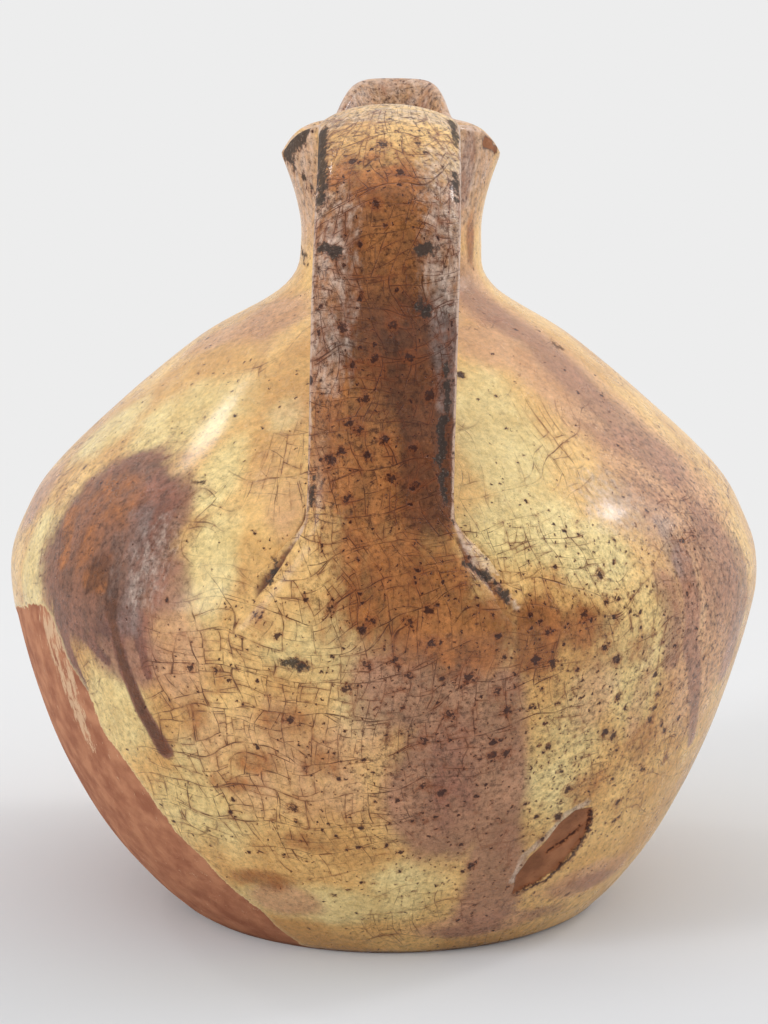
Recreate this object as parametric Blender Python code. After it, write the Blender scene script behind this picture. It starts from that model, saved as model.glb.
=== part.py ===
"""A rustic glazed earthenware water pitcher, thrown and luted together from six clay pieces.

Metres, +Z up. The origin is on the belly's axis at the table. The spout points to +Y and the handle stands at -Y.
"""

import math

import bmesh
import bpy
from mathutils import Vector

# Clay walls and luted joints
WALL = 0.0055
FLOOR = 0.008
JOINT_GAP = 0.0003
KEY_HEIGHT = 0.001
KEY_HALF_WIDTH = 0.0016

# Turned outline, from the foot to the rim: each rise is counted from the station below it, and each inset
# from the belly's radius
FOOT_RADIUS = 0.0625
HEEL_RISE = 0.0115
HEEL_RADIUS = 0.0738
BILGE_RISE = 0.0185
BILGE_RADIUS = 0.0868
WALL_RISE = 0.030
WALL_INSET = 0.0095
BELLY_RISE = 0.0375
BELLY_RADIUS = 0.110
HAUNCH_RISE = 0.0205
HAUNCH_INSET = 0.0047
SHOULDER_RISE = 0.0175
SHOULDER_INSET = 0.0174
DOME_RISE = 0.031
DOME_RADIUS = 0.0567
THROAT_RISE = 0.0166
THROAT_RADIUS = 0.0306
NECK_RISE = 0.0144
NECK_RADIUS = 0.0262
RIM_RISE = 0.0254
RIM_RADIUS = 0.0285

# Luted seam of the collar, above the dome station
COLLAR_SEAM_RISE = 0.0075

# Mouth: what the plain rim ring gains where it was pulled and pinched
COLLAR_WALL = 0.0048
LIP_HALF_THICKNESS = 0.0019
LOBE_FLARE = 0.0041
LOBE_FLARE_SPREAD = math.radians(44)
LOBE_DROP = 0.008
LOBE_DROP_SPREAD = math.radians(23)
SPOUT_ANGLE = math.radians(88)
SPOUT_REACH = 0.0165
SPOUT_SPREAD = math.radians(30)
SPOUT_RISE = 0.011
SPOUT_SHARPNESS = 4
PINCH_DEPTH = 0.0035
PINCH_ANGLE = math.radians(46)
PINCH_SPREAD = math.radians(15)

# Strap handle
STRAP_WIDTH = 0.0382
STRAP_HALF_EDGE = 0.0034
STRAP_CROWN = 0.0037
STRAP_BELLY = 0.0010
STRAP_SQUARENESS = 0.62
STRAP_SHOULDER = 0.25
STRAP_BITE = 0.004
STRAP_TOP_RISE = 0.0060
STRAP_SEAT_DROP = 0.0062
CREST_REACH = 0.060
KNUCKLE_INSET = 0.0185
KNUCKLE_DROP = 0.021
GRIP_INSET = 0.0135
GRIP_DROP = 0.058
WRIST_INSET = 0.0115
WRIST_RISE = 0.044
ANKLE_PROUD = 0.0006
ANKLE_RISE = 0.019
ROOT_RISE = 0.006
ROOT_WIDTH = 0.076
ROOT_HALF_EDGE = 0.0018
ROOT_CROWN = 0.0006
FLARE_LENGTH = 0.030
FLARE_POWER = 1.2
WRAP_HASTE = 5

# Rolls of clay that lute the handle on
TOP_ROLL_RADIUS = 0.0065
TOP_ROLL_LENGTH = 0.030
TOP_ROLL_DROP = 0.001
BOTTOM_ROLL_RADIUS = 0.0072
BOTTOM_ROLL_LENGTH = 0.034
BOTTOM_ROLL_LIFT = 0.005

# How far the hand-thrown axis strays to +X
FOOT_STRAY = 0.0013
WALL_BOW = 0.0009
SHOULDER_STRAY = 0.0003
NECK_STRAY = 0.0020
HANDLE_TOP_STRAY = 0.0014
HANDLE_ROOT_STRAY = -0.0019

# Fineness of the solids
TURNS = 64
CURVE_STEPS = 3
STRAP_STEPS = 26
STRAP_SIDES = 20
STRAP_FINENESS = 40
LIP_STEPS = 4
ROLL_SEGMENTS = 20
ROLL_RINGS = 12

GLAZE_OCHRE = (0.62, 0.42, 0.13, 1.0)
GLAZE_BROWN = (0.33, 0.14, 0.05, 1.0)
GLAZE_ROUGHNESS = 0.3
CREASE_ANGLE = math.radians(40)
TINY = 1e-9
WELD = 1e-6


def catmull_rom(points, steps):
    """A smooth curve through the points, with this many steps between each two."""
    ends = [2 * points[0] - points[1], *points, 2 * points[-1] - points[-2]]
    curve = []
    for before, start, end, after in zip(ends, ends[1:], ends[2:], ends[3:]):
        for step in range(steps):
            t = step / steps
            curve.append(
                0.5
                * (
                    2 * start
                    + (end - before) * t
                    + (2 * before - 5 * start + 4 * end - after) * t**2
                    + (3 * start - before - 3 * end + after) * t**3
                )
            )
    return [*curve, points[-1]]


def smoothstep(low, high, value):
    t = min(max((value - low) / (high - low), 0.0), 1.0)
    return t * t * (3 - 2 * t)


def bump(angle, centre, spread, sharpness=2):
    """1 at the centre angle, falling to 0 past the spread on both sides."""
    turn = (angle - centre + math.pi) % (2 * math.pi) - math.pi
    return math.exp(-(abs(turn / spread) ** sharpness))


def stations():
    """The turned outline's stations as (radius, height)."""
    height = 0.0
    found = [Vector((FOOT_RADIUS, height))]
    for rise, radius in (
        (HEEL_RISE, HEEL_RADIUS),
        (BILGE_RISE, BILGE_RADIUS),
        (WALL_RISE, BELLY_RADIUS - WALL_INSET),
        (BELLY_RISE, BELLY_RADIUS),
        (HAUNCH_RISE, BELLY_RADIUS - HAUNCH_INSET),
        (SHOULDER_RISE, BELLY_RADIUS - SHOULDER_INSET),
        (DOME_RISE, DOME_RADIUS),
        (THROAT_RISE, THROAT_RADIUS),
        (NECK_RISE, NECK_RADIUS),
        (RIM_RISE, RIM_RADIUS),
    ):
        height += rise
        found.append(Vector((radius, height)))
    return found


STATIONS = stations()
BELLY_HEIGHT = STATIONS[4].y
SHOULDER_HEIGHT = STATIONS[6].y
DOME_HEIGHT = STATIONS[7].y
COLLAR_SEAM = DOME_HEIGHT + COLLAR_SEAM_RISE
NECK_HEIGHT = STATIONS[9].y
RIM_HEIGHT = STATIONS[10].y
OUTLINE = catmull_rom(STATIONS, CURVE_STEPS)


def offset(outline, distance):
    """The outline moved outwards along its own normals."""
    moved = []
    for i, point in enumerate(outline):
        along = outline[min(i + 1, len(outline) - 1)] - outline[max(i - 1, 0)]
        moved.append(point + distance * Vector((along.y, -along.x)).normalized())
    return moved


INNER_OUTLINE = offset(OUTLINE, -WALL)


def radius_at(outline, height):
    for low, high in zip(outline, outline[1:]):
        if low.y <= height <= high.y:
            return low.lerp(high, (height - low.y) / (high.y - low.y)).x
    return outline[0].x if height < outline[0].y else outline[-1].x


def stretch(outline, low, high):
    """The part of an outline between two heights, with a point cut at each."""
    inside = [point for point in outline if low + JOINT_GAP < point.y < high - JOINT_GAP]
    return [
        Vector((radius_at(outline, low), low)),
        *inside,
        Vector((radius_at(outline, high), high)),
    ]


def key(seam, height):
    """The V across the wall at a seam, from its outer side to its inner one, drawn at a height."""
    middle = (radius_at(OUTLINE, seam) + radius_at(INNER_OUTLINE, seam)) / 2
    return [
        Vector((middle + KEY_HALF_WIDTH, height)),
        Vector((middle, height - KEY_HEIGHT)),
        Vector((middle - KEY_HALF_WIDTH, height)),
    ]


def stray(height):
    """How far the axis strays to +X at this height: none at the belly, most at the foot and neck."""
    if height < BELLY_HEIGHT:
        share = height / BELLY_HEIGHT
        return FOOT_STRAY * (1 - share) ** 3 - WALL_BOW * math.sin(math.pi * share)
    shoulder = smoothstep(BELLY_HEIGHT, SHOULDER_HEIGHT, height)
    neck = smoothstep(DOME_HEIGHT, NECK_HEIGHT, height)
    return SHOULDER_STRAY * shoulder + (NECK_STRAY - SHOULDER_STRAY) * neck


def both_sides(angle, from_side, spread):
    """A bump at this angle in front of +X, and its twin in front of -X."""
    return bump(angle, from_side, spread) + bump(angle, math.pi - from_side, spread)


def mouth_reach(angle):
    """How much further out than the plain rim ring the pulled mouth stands."""
    lobes = both_sides(angle, 0, LOBE_FLARE_SPREAD)
    pinches = both_sides(angle, PINCH_ANGLE, PINCH_SPREAD)
    spout = bump(angle, SPOUT_ANGLE, SPOUT_SPREAD)
    return LOBE_FLARE * lobes - PINCH_DEPTH * pinches + SPOUT_REACH * spout


def mouth_rise(angle):
    """How much higher than the lobes' low tips the rim stands."""
    tips = both_sides(angle, 0, LOBE_DROP_SPREAD)
    spout = bump(angle, SPOUT_ANGLE, SPOUT_SPREAD, SPOUT_SHARPNESS)
    return LOBE_DROP * (1 - tips) + SPOUT_RISE * spout


def shaped(point):
    """A point of the plain turned pot, moved to where the potter's hands left it."""
    angle = math.atan2(point.y, point.x)
    pull = min(max((point.z - NECK_HEIGHT) / (RIM_HEIGHT - NECK_HEIGHT), 0.0), 1.0) ** 2
    reach = math.hypot(point.x, point.y)
    if reach > TINY:
        reach += mouth_reach(angle) * pull
    height = point.z + mouth_rise(angle) * pull
    return Vector((reach * math.cos(angle) + stray(point.z), reach * math.sin(angle), height))


def mesh_object(name, bm, origin, colour):
    """Makes an object of the bmesh, with its own origin and its own glaze."""
    bmesh.ops.recalc_face_normals(bm, faces=bm.faces)
    bmesh.ops.translate(bm, verts=bm.verts, vec=-origin)
    mesh = bpy.data.meshes.new(name)
    bm.to_mesh(mesh)
    bm.free()
    mesh.shade_smooth()
    mesh.set_sharp_from_angle(angle=CREASE_ANGLE)
    obj = bpy.data.objects.new(name, mesh)
    obj.location = origin
    bpy.context.scene.collection.objects.link(obj)
    if colour is None:
        obj.hide_render = True
        obj.display_type = "WIRE"
        return obj
    glaze = bpy.data.materials.new(name + "_glaze")
    glaze.use_nodes = True
    shader = glaze.node_tree.nodes["Principled BSDF"]
    shader.inputs["Base Color"].default_value = colour
    shader.inputs["Roughness"].default_value = GLAZE_ROUGHNESS
    mesh.materials.append(glaze)
    return obj


def turned(name, profile, origin, colour):
    """Spins a closed profile of (radius, height) points round the axis, then shapes it by hand."""
    bm = bmesh.new()
    corners = [bm.verts.new((point.x, 0, point.y)) for point in profile]
    on_axis = profile[0].x < TINY and profile[-1].x < TINY
    ends = zip(corners, corners[1:] if on_axis else corners[1:] + corners[:1])
    edges = [bm.edges.new(pair) for pair in ends]
    bmesh.ops.spin(
        bm,
        geom=corners + edges,
        cent=(0, 0, 0),
        axis=(0, 0, 1),
        angle=2 * math.pi,
        steps=TURNS,
        use_merge=True,
    )
    bmesh.ops.remove_doubles(bm, verts=bm.verts, dist=WELD)
    for vert in bm.verts:
        vert.co = shaped(vert.co)
    return mesh_object(name, bm, origin, colour)


def lower_body():
    top = BELLY_HEIGHT - JOINT_GAP / 2
    outer = stretch(OUTLINE, 0.0, top)
    inner = stretch(INNER_OUTLINE, FLOOR, top)
    groove = key(BELLY_HEIGHT, top)
    profile = [Vector((0, 0)), *outer, *groove, *reversed(inner), Vector((0, FLOOR))]
    return turned("lower_body", profile, Vector((0, 0, 0)), GLAZE_OCHRE)


def upper_body():
    bottom = BELLY_HEIGHT + JOINT_GAP / 2
    top = COLLAR_SEAM - JOINT_GAP / 2
    outer = stretch(OUTLINE, bottom, top)
    inner = stretch(INNER_OUTLINE, bottom, top)
    groove = key(COLLAR_SEAM, top)
    ridge = key(BELLY_HEIGHT, bottom)
    profile = [*outer, *groove, *reversed(inner), *reversed(ridge)]
    return turned("upper_body", profile, Vector((0, 0, BELLY_HEIGHT)), GLAZE_OCHRE)


def neck_collar():
    bottom = COLLAR_SEAM + JOINT_GAP / 2
    top = RIM_HEIGHT - LIP_HALF_THICKNESS
    outer = stretch(OUTLINE, bottom, top)
    thinning = [
        thick.lerp(thin, smoothstep(COLLAR_SEAM, NECK_HEIGHT, thick.y))
        for thick, thin in zip(INNER_OUTLINE, offset(OUTLINE, -COLLAR_WALL))
    ]
    inner = stretch(thinning, bottom, top)
    ridge = key(COLLAR_SEAM, bottom)
    middle = (outer[-1] + inner[-1]) / 2
    half = (outer[-1].x - inner[-1].x) / 2
    lip = [
        middle + Vector((half * math.cos(turn), LIP_HALF_THICKNESS * math.sin(turn)))
        for turn in (math.pi * step / LIP_STEPS for step in range(1, LIP_STEPS))
    ]
    profile = [*outer, *lip, *reversed(inner), *reversed(ridge)]
    return turned("neck_collar", profile, Vector((0, 0, COLLAR_SEAM)), GLAZE_OCHRE)


def pot_cutter():
    """The whole pot as one filled shape, a joint gap larger, to cut what is luted onto it."""
    top = RIM_HEIGHT + JOINT_GAP
    skin = stretch(offset(OUTLINE, JOINT_GAP), JOINT_GAP, top)
    lip_inside = Vector((RIM_RADIUS - COLLAR_WALL - JOINT_GAP, top))
    profile = [Vector((0, JOINT_GAP)), *skin, lip_inside, Vector((0, top))]
    return turned("pot_cutter", profile, Vector((0, 0, 0)), None)


def strap_centreline():
    """The middle of the strap as (forward, height), from the neck over the crest to the belly."""
    back = -math.pi / 2
    rim_back = RIM_HEIGHT + mouth_rise(back)
    top = rim_back + STRAP_TOP_RISE - STRAP_HALF_EDGE - STRAP_CROWN
    ankle = BELLY_HEIGHT + ROOT_RISE + ANKLE_RISE
    root = BELLY_HEIGHT + ROOT_RISE
    points = [
        Vector((STRAP_BITE - RIM_RADIUS - mouth_reach(back), rim_back - STRAP_SEAT_DROP)),
        Vector((-CREST_REACH, top)),
        Vector((KNUCKLE_INSET - BELLY_RADIUS, top - KNUCKLE_DROP)),
        Vector((GRIP_INSET - BELLY_RADIUS, top - GRIP_DROP)),
        Vector((WRIST_INSET - BELLY_RADIUS, root + WRIST_RISE)),
        Vector((-radius_at(OUTLINE, ankle) - ANKLE_PROUD, ankle)),
        Vector((-radius_at(OUTLINE, root), root)),
    ]
    fine = catmull_rom(points, STRAP_FINENESS)
    lengths = [0.0]
    for here, there in zip(fine, fine[1:]):
        lengths.append(lengths[-1] + (there - here).length)
    middle = []
    for step in range(STRAP_STEPS + 1):
        wanted = lengths[-1] * step / STRAP_STEPS
        i = next(i for i, length in enumerate(lengths) if length >= wanted - TINY)
        middle.append(fine[i])
    return middle, lengths[-1]


def strap_section(turn, flare, grow):
    """A point of the strap's section as (across, outward), where turn goes once round it."""
    across, outward = math.cos(turn), math.sin(turn)
    half_width = (STRAP_WIDTH + (ROOT_WIDTH - STRAP_WIDTH) * flare) / 2 + grow
    half_edge = STRAP_HALF_EDGE + (ROOT_HALF_EDGE - STRAP_HALF_EDGE) * flare
    crown = STRAP_CROWN + (ROOT_CROWN - STRAP_CROWN) * flare
    share = math.copysign(abs(across) ** STRAP_SQUARENESS, across)
    arch = (crown if outward > 0 else STRAP_BELLY) * (1 - share**2) + grow
    edge = half_edge * abs(outward) ** STRAP_SQUARENESS
    depth = edge + arch * min(abs(outward) / STRAP_SHOULDER, 1)
    return half_width * share, math.copysign(depth, outward)


def strap(name, grow, colour):
    """Extrudes the strap's crowned section along its centreline, grown on all sides by a distance."""
    middle, length = strap_centreline()
    top, root = middle[0].y, middle[-1].y
    bm = bmesh.new()
    turn_of = bm.verts.layers.float.new("turn")
    bmesh.ops.create_circle(bm, cap_ends=True, segments=STRAP_SIDES, radius=1)
    for vert in bm.verts:
        vert[turn_of] = math.atan2(vert.co.y, vert.co.x)
    end = next(iter(bm.faces))
    for i, centre in enumerate(middle):
        if i:
            made = bmesh.ops.extrude_face_region(bm, geom=[end])["geom"]
            if i > 1:
                bmesh.ops.delete(bm, geom=[end], context="FACES_ONLY")
            end = next(item for item in made if isinstance(item, bmesh.types.BMFace))
        along = middle[min(i + 1, STRAP_STEPS)] - middle[max(i - 1, 0)]
        outward = Vector((0, along.y, -along.x)).normalized()
        left = length * (1 - i / STRAP_STEPS)
        flare = max(1 - left / FLARE_LENGTH, 0.0) ** FLARE_POWER
        stray_here = HANDLE_ROOT_STRAY + (HANDLE_TOP_STRAY - HANDLE_ROOT_STRAY) * (
            (centre.y - root) / (top - root)
        )
        for vert in end.verts:
            x, depth = strap_section(vert[turn_of], flare, grow)
            sag = BELLY_RADIUS - math.sqrt(BELLY_RADIUS**2 - x**2)
            wrap = min(WRAP_HASTE * flare, 1.0) * sag
            spot = Vector((0, centre.x, centre.y)) + outward * depth
            vert.co = Vector((x + stray_here, spot.y + wrap, spot.z))
    return mesh_object(name, bm, Vector((0, middle[0].x, middle[0].y)), colour)


def roll(name, centre, radius, length):
    """A short roll of clay across the pot, with round ends."""
    bm = bmesh.new()
    bmesh.ops.create_uvsphere(bm, u_segments=ROLL_SEGMENTS, v_segments=ROLL_RINGS, radius=radius)
    bmesh.ops.scale(bm, verts=bm.verts, vec=(length / (2 * radius), 1, 1))
    bmesh.ops.translate(bm, verts=bm.verts, vec=centre)
    return mesh_object(name, bm, centre, GLAZE_BROWN)


def top_roll_centre():
    """Where the strap's underside meets the back of the neck."""
    start = strap_centreline()[0][0]
    under = start.y - STRAP_HALF_EDGE - STRAP_BELLY
    return Vector((0, start.x - STRAP_BITE, under - TOP_ROLL_DROP))


def bottom_roll_centre():
    """Just above where the strap's inner face meets the shoulder."""
    for centre in reversed(strap_centreline()[0]):
        inner_face = -centre.x - STRAP_HALF_EDGE - STRAP_BELLY
        shoulder = radius_at(OUTLINE, centre.y)
        if inner_face > shoulder:
            break
    height = centre.y + BOTTOM_ROLL_LIFT
    return Vector((0, -radius_at(OUTLINE, height), height))


def cut(obj, cutter):
    modifier = obj.modifiers.new("cut_by_" + cutter.name, "BOOLEAN")
    modifier.operation = "DIFFERENCE"
    modifier.solver = "EXACT"
    modifier.object = cutter


def main():
    for old in list(bpy.data.objects):
        bpy.data.objects.remove(old)
    handle = strap("strap_handle", 0.0, GLAZE_BROWN)
    top_roll = roll("handle_top_luting", top_roll_centre(), TOP_ROLL_RADIUS, TOP_ROLL_LENGTH)
    bottom_roll = roll(
        "handle_bottom_luting", bottom_roll_centre(), BOTTOM_ROLL_RADIUS, BOTTOM_ROLL_LENGTH
    )
    pieces = [lower_body(), upper_body(), neck_collar(), handle, top_roll, bottom_roll]
    pot = pot_cutter()
    strap_room = strap("strap_cutter", JOINT_GAP, None)
    for piece in (handle, top_roll, bottom_roll):
        cut(piece, pot)
    for piece in (top_roll, bottom_roll):
        cut(piece, strap_room)
    pitcher = bpy.data.objects.new("pitcher", None)
    bpy.context.scene.collection.objects.link(pitcher)
    for piece in [*pieces, pot, strap_room]:
        piece.parent = pitcher


main()
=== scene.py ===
"""Looks of a rustic glazed earthenware water pitcher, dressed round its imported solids.

Metres, +Z up, in the solids' own frame: the spout points to +Y, and the handle stands at -Y, towards
the camera.
"""

import enum
import logging
import math
import random
from dataclasses import dataclass, field
from itertools import cycle

import bmesh
import bpy
import numpy as np
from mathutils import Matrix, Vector, interpolate, noise
from mathutils.bvhtree import BVHTree


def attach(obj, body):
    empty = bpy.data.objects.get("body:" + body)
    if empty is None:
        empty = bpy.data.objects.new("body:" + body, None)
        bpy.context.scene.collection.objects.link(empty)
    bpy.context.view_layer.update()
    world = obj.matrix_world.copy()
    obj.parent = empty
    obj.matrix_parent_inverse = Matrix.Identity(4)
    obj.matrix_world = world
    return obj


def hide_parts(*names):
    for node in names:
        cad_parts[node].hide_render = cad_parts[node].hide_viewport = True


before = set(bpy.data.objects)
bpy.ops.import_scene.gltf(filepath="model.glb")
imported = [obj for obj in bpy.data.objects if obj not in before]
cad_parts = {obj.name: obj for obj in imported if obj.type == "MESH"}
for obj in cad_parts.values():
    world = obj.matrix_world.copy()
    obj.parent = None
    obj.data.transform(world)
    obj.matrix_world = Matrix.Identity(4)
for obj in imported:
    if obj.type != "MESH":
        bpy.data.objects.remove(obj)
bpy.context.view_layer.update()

MM = 0.001
TINY = 1e-9
WELD = 1e-6
ROOT_BODY = "root"
OCHRE_SLOT = "ochre_glaze"
BROWN_SLOT = "brown_glaze"
Socket = bpy.types.NodeSocket

log = logging.getLogger("pitcher")


class Layer(enum.Enum):
    """One colour or flaw of the fired surface, or a painted sheen or shade. Its value names the mesh
    attribute that says where it lies.
    """

    STRAW = "straw"
    TAN = "tan"
    MAUVE = "mauve"
    UMBER = "umber"
    RUST = "rust"
    TREACLE = "treacle"
    # Painted grey sheen: a greyish reflection laid into the glaze's colour on glossy spots.
    SMOKE = "smoke"
    # Painted pale sheen and highlight haze on the glaze, and pale worn lines.
    PALE = "pale"
    SPECKS = "specks"
    CRAZE = "craze"
    # Dirt, and painted shade where it darkens the spout's inside.
    GRIME = "grime"
    SLIP = "slip"
    ARRIS = "arris"
    BARE = "bare"
    CHIP = "chip"
    SPOT = "spot"
    SOOT = "soot"


CRISP_LAYERS = (Layer.BARE, Layer.CHIP, Layer.SPOT, Layer.SOOT)
FAR_OUTSIDE_MM = -9.0


class Carrier(enum.Enum):
    """Which piece a mark lies on."""

    POT = "pot"
    HANDLE = "handle"


@dataclass(frozen=True)
class Seen:
    """A place on the pitcher, given by the pixel of the 768 x 1024 photo where it is seen."""

    across: float
    down: float


@dataclass(frozen=True)
class Place:
    """A place on the pot, in degrees to the right of the handle and in millimetres above the table."""

    bearing: float
    height: float


@dataclass(frozen=True)
class Mark:
    """One oval patch, run or filled outline of a layer on a piece, with its real size in millimetres."""

    layer: Layer
    path: tuple
    wide: float = 0.0
    tall: float = 0.0
    amount: float = 1.0
    tilt: float = 0.0
    end_wide: float = 0.0
    relief: float = 0.0
    filled: bool = False


def linear(code: str) -> tuple[float, float, float, float]:
    """Turns an sRGB hex code to linear light.

    Args:
        code: the colour as #rrggbb.

    Returns:
        Red, green, blue and an alpha of 1.
    """
    channels = [int(code[at : at + 2], 16) / 255 for at in (1, 3, 5)]
    lit = [c / 12.92 if c <= 0.04045 else ((c + 0.055) / 1.055) ** 2.4 for c in channels]
    return (*lit, 1.0)


def smoothstep(low: float, high: float, value: np.ndarray) -> np.ndarray:
    """Rises smoothly from 0 to 1 between two values.

    Args:
        low: where it is still 0.
        high: where it is already 1.
        value: what is measured.

    Returns:
        The share of the way, eased at both ends.
    """
    t = np.clip((np.asarray(value, float) - low) / (high - low), 0.0, 1.0)
    return t * t * (3 - 2 * t)


def bump(angle: np.ndarray, centre: float, spread: float, sharpness: float = 2) -> np.ndarray:
    """A bell over angles, 1 at its centre.

    Args:
        angle: angles round the pot, in radians.
        centre: the angle of the bell's top.
        spread: the angle at which it has fallen to about a third.
        sharpness: 2 is a plain bell, and more squares its shoulders.

    Returns:
        The bell's height at each angle.
    """
    turn = (np.asarray(angle, float) - centre + math.pi) % (2 * math.pi) - math.pi
    return np.exp(-(np.abs(turn / spread) ** sharpness))


def catmull_rom(points: list[np.ndarray], steps: int) -> np.ndarray:
    """A smooth curve through points.

    Args:
        points: the stations it passes.
        steps: how many steps it takes between two stations.

    Returns:
        The curve's points, one row each.
    """
    ends = [2 * points[0] - points[1], *points, 2 * points[-1] - points[-2]]
    t = (np.arange(steps) / steps)[:, None]
    spans = [
        0.5
        * (
            2 * start
            + (end - before) * t
            + (2 * before - 5 * start + 4 * end - after) * t**2
            + (3 * start - before - 3 * end + after) * t**3
        )
        for before, start, end, after in zip(ends, ends[1:], ends[2:], ends[3:])
    ]
    return np.vstack([*spans, points[-1][None]])


def lengths_along(points: np.ndarray) -> np.ndarray:
    """How far along a line each of its points lies."""
    return np.concatenate([[0.0], np.cumsum(np.hypot(*np.diff(points, axis=0).T))])


def resampled(stops: np.ndarray, lengths: np.ndarray, points: np.ndarray) -> np.ndarray:
    """The places at some lengths along a line of points."""
    return np.stack([np.interp(stops, lengths, points[:, at]) for at in (0, 1)], axis=1)


def noise_at(points: np.ndarray, size: float, seed: float) -> np.ndarray:
    """Soft noise of one grain size at many points.

    Args:
        points: places in metres, one row each.
        size: the grain in metres.
        seed: shifts the noise, so that two uses differ.

    Returns:
        Values from about -1 to 1.
    """
    shift = Vector((seed, 2 * seed, 3 * seed))
    return np.array([noise.noise(Vector(point) / size + shift) for point in points])


@dataclass
class Skin:
    """Where each point of a piece lies on its own surface: east to the right, north upwards, in millimetres.

    On the pot east is an angle, and girth turns it to millimetres. On the handle girth is 1.
    """

    east: np.ndarray
    north: np.ndarray
    girth: np.ndarray
    turns: bool

    def offsets(self, east: float, north: float) -> tuple[np.ndarray, np.ndarray]:
        """How far each point lies to the east and north of a place, in millimetres.

        Args:
            east: the place's east.
            north: the place's north.

        Returns:
            The distances to the east and to the north.
        """
        across = self.east - east
        if self.turns:
            across = (across + math.pi) % (2 * math.pi) - math.pi
        return across * self.girth, self.north - north

    def inside(self, mark: Mark, path: list[tuple[float, float]]) -> np.ndarray:
        """How deep each point lies inside a mark.

        Args:
            mark: the mark's sizes.
            path: its places as (east, north).

        Returns:
            1 in its middle, 0 on its edge and less outside; for a crisp layer or a filled outline,
            millimetres.
        """
        if mark.filled:
            return self.inside_outline(path)
        if len(path) > 1:
            return self.inside_run(mark, path)
        x, y = self.offsets(*path[0])
        lean = math.radians(mark.tilt)
        right = x * math.cos(lean) - y * math.sin(lean)
        up = x * math.sin(lean) + y * math.cos(lean)
        half = min(mark.wide, mark.tall) / 2
        deep = 1 - np.hypot(right / (mark.wide / 2), up / (mark.tall / 2))
        return deep * half if mark.layer in CRISP_LAYERS else deep

    def from_corners(self, path: list[tuple[float, float]]) -> list[tuple[np.ndarray, np.ndarray]]:
        """How far each point lies from each place of a path, unrolled round the path's middle.

        Args:
            path: the mark's places, as (east, north).

        Returns:
            A pair of distances, to the east and to the north, for each place.
        """
        middle = sum(east for east, _ in path) / len(path)
        across, _ = self.offsets(middle, 0.0)
        return [(across - (east - middle) * self.girth, self.north - north) for east, north in path]

    @staticmethod
    def beside_leg(start: tuple, end: tuple) -> tuple[np.ndarray, np.ndarray]:
        """Measures how points lie beside one leg of a path.

        Args:
            start: how far each point lies from the leg's first end, to the east and north.
            end: the same for its other end.

        Returns:
            The share of the leg at which each point is nearest to it, and how far away it lies.
        """
        (x0, y0), (x1, y1) = start, end
        dx, dy = x0 - x1, y0 - y1
        t = np.clip((x0 * dx + y0 * dy) / np.maximum(dx * dx + dy * dy, TINY), 0, 1)
        return t, np.hypot(x0 - t * dx, y0 - t * dy)

    def inside_run(self, mark: Mark, path: list[tuple[float, float]]) -> np.ndarray:
        """The same for a run along its path, whose width changes from wide to end_wide.

        Args:
            mark: the run.
            path: the mark's places, as (east, north).

        Returns:
            1 in its middle, 0 on its edge and less outside, or millimetres for a crisp layer.
        """
        best = np.full(len(self.north), FAR_OUTSIDE_MM)
        spans = len(path) - 1
        corners = self.from_corners(path)
        for step, (start, end) in enumerate(zip(corners, corners[1:])):
            t, away = self.beside_leg(start, end)
            half = (mark.wide + (mark.end_wide - mark.wide) * (step + t) / spans) / 2
            deep = half - away
            best = np.maximum(best, deep if mark.layer in CRISP_LAYERS else deep / half)
        return best

    def inside_outline(self, path: list[tuple[float, float]]) -> np.ndarray:
        """The same for a closed outline, as the distance from its nearest side in millimetres.

        Args:
            path: the mark's places, as (east, north).

        Returns:
            The distance, below 0 outside.
        """
        nearest = np.full(len(self.north), -FAR_OUTSIDE_MM)
        odd = np.zeros(len(self.north), bool)
        corners = self.from_corners(path)
        for start, end in zip(corners, corners[1:] + corners[:1]):
            nearest = np.minimum(nearest, self.beside_leg(start, end)[1])
            (x0, y0), (x1, y1) = start, end
            crosses = (y0 > 0) != (y1 > 0)
            rise = np.where(np.abs(y0 - y1) < TINY, TINY, y0 - y1)
            odd ^= crosses & ((x0 - y0 * (x0 - x1) / rise) > 0)
        return np.where(odd, nearest, -nearest)


@dataclass
class Painting:
    """The layers of one piece, gathered mark by mark. Each mark's edge is eased from outside it to inside."""

    count: int
    soft_edge: tuple = (-0.45, 0.55)
    crisp_edge_mm: tuple = (-0.4, 0.6)
    fields: dict = field(default_factory=dict)
    relief: np.ndarray = None

    def __post_init__(self) -> None:
        """Starts every layer empty."""
        self.relief = np.zeros(self.count)
        self.fields = {layer: np.full(self.count, self.empty(layer)) for layer in Layer}

    @staticmethod
    def empty(layer: Layer) -> float:
        """What a layer says where nothing of it lies."""
        return FAR_OUTSIDE_MM if layer in CRISP_LAYERS else 0.0

    def lay(self, mark: Mark, deep: np.ndarray) -> None:
        """Adds a mark to its layer, and its relief to the surface.

        Args:
            mark: what is laid.
            deep: how deep each point lies inside it, as Skin.inside gives it.
        """
        crisp = mark.layer in CRISP_LAYERS
        share = smoothstep(*(self.crisp_edge_mm if crisp else self.soft_edge), deep)
        laid = deep if crisp else mark.amount * share
        self.fields[mark.layer] = np.maximum(self.fields[mark.layer], laid)
        self.relief += mark.relief * MM * share

    def store(self, mesh: bpy.types.Mesh) -> None:
        """Writes each layer to the mesh as an attribute.

        Args:
            mesh: the piece's mesh, with its points in the same order.
        """
        for layer, values in self.fields.items():
            kept = mesh.attributes.new(layer.value, "FLOAT", "POINT")
            kept.data.foreach_set("value", values.astype(np.float32))


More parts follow.
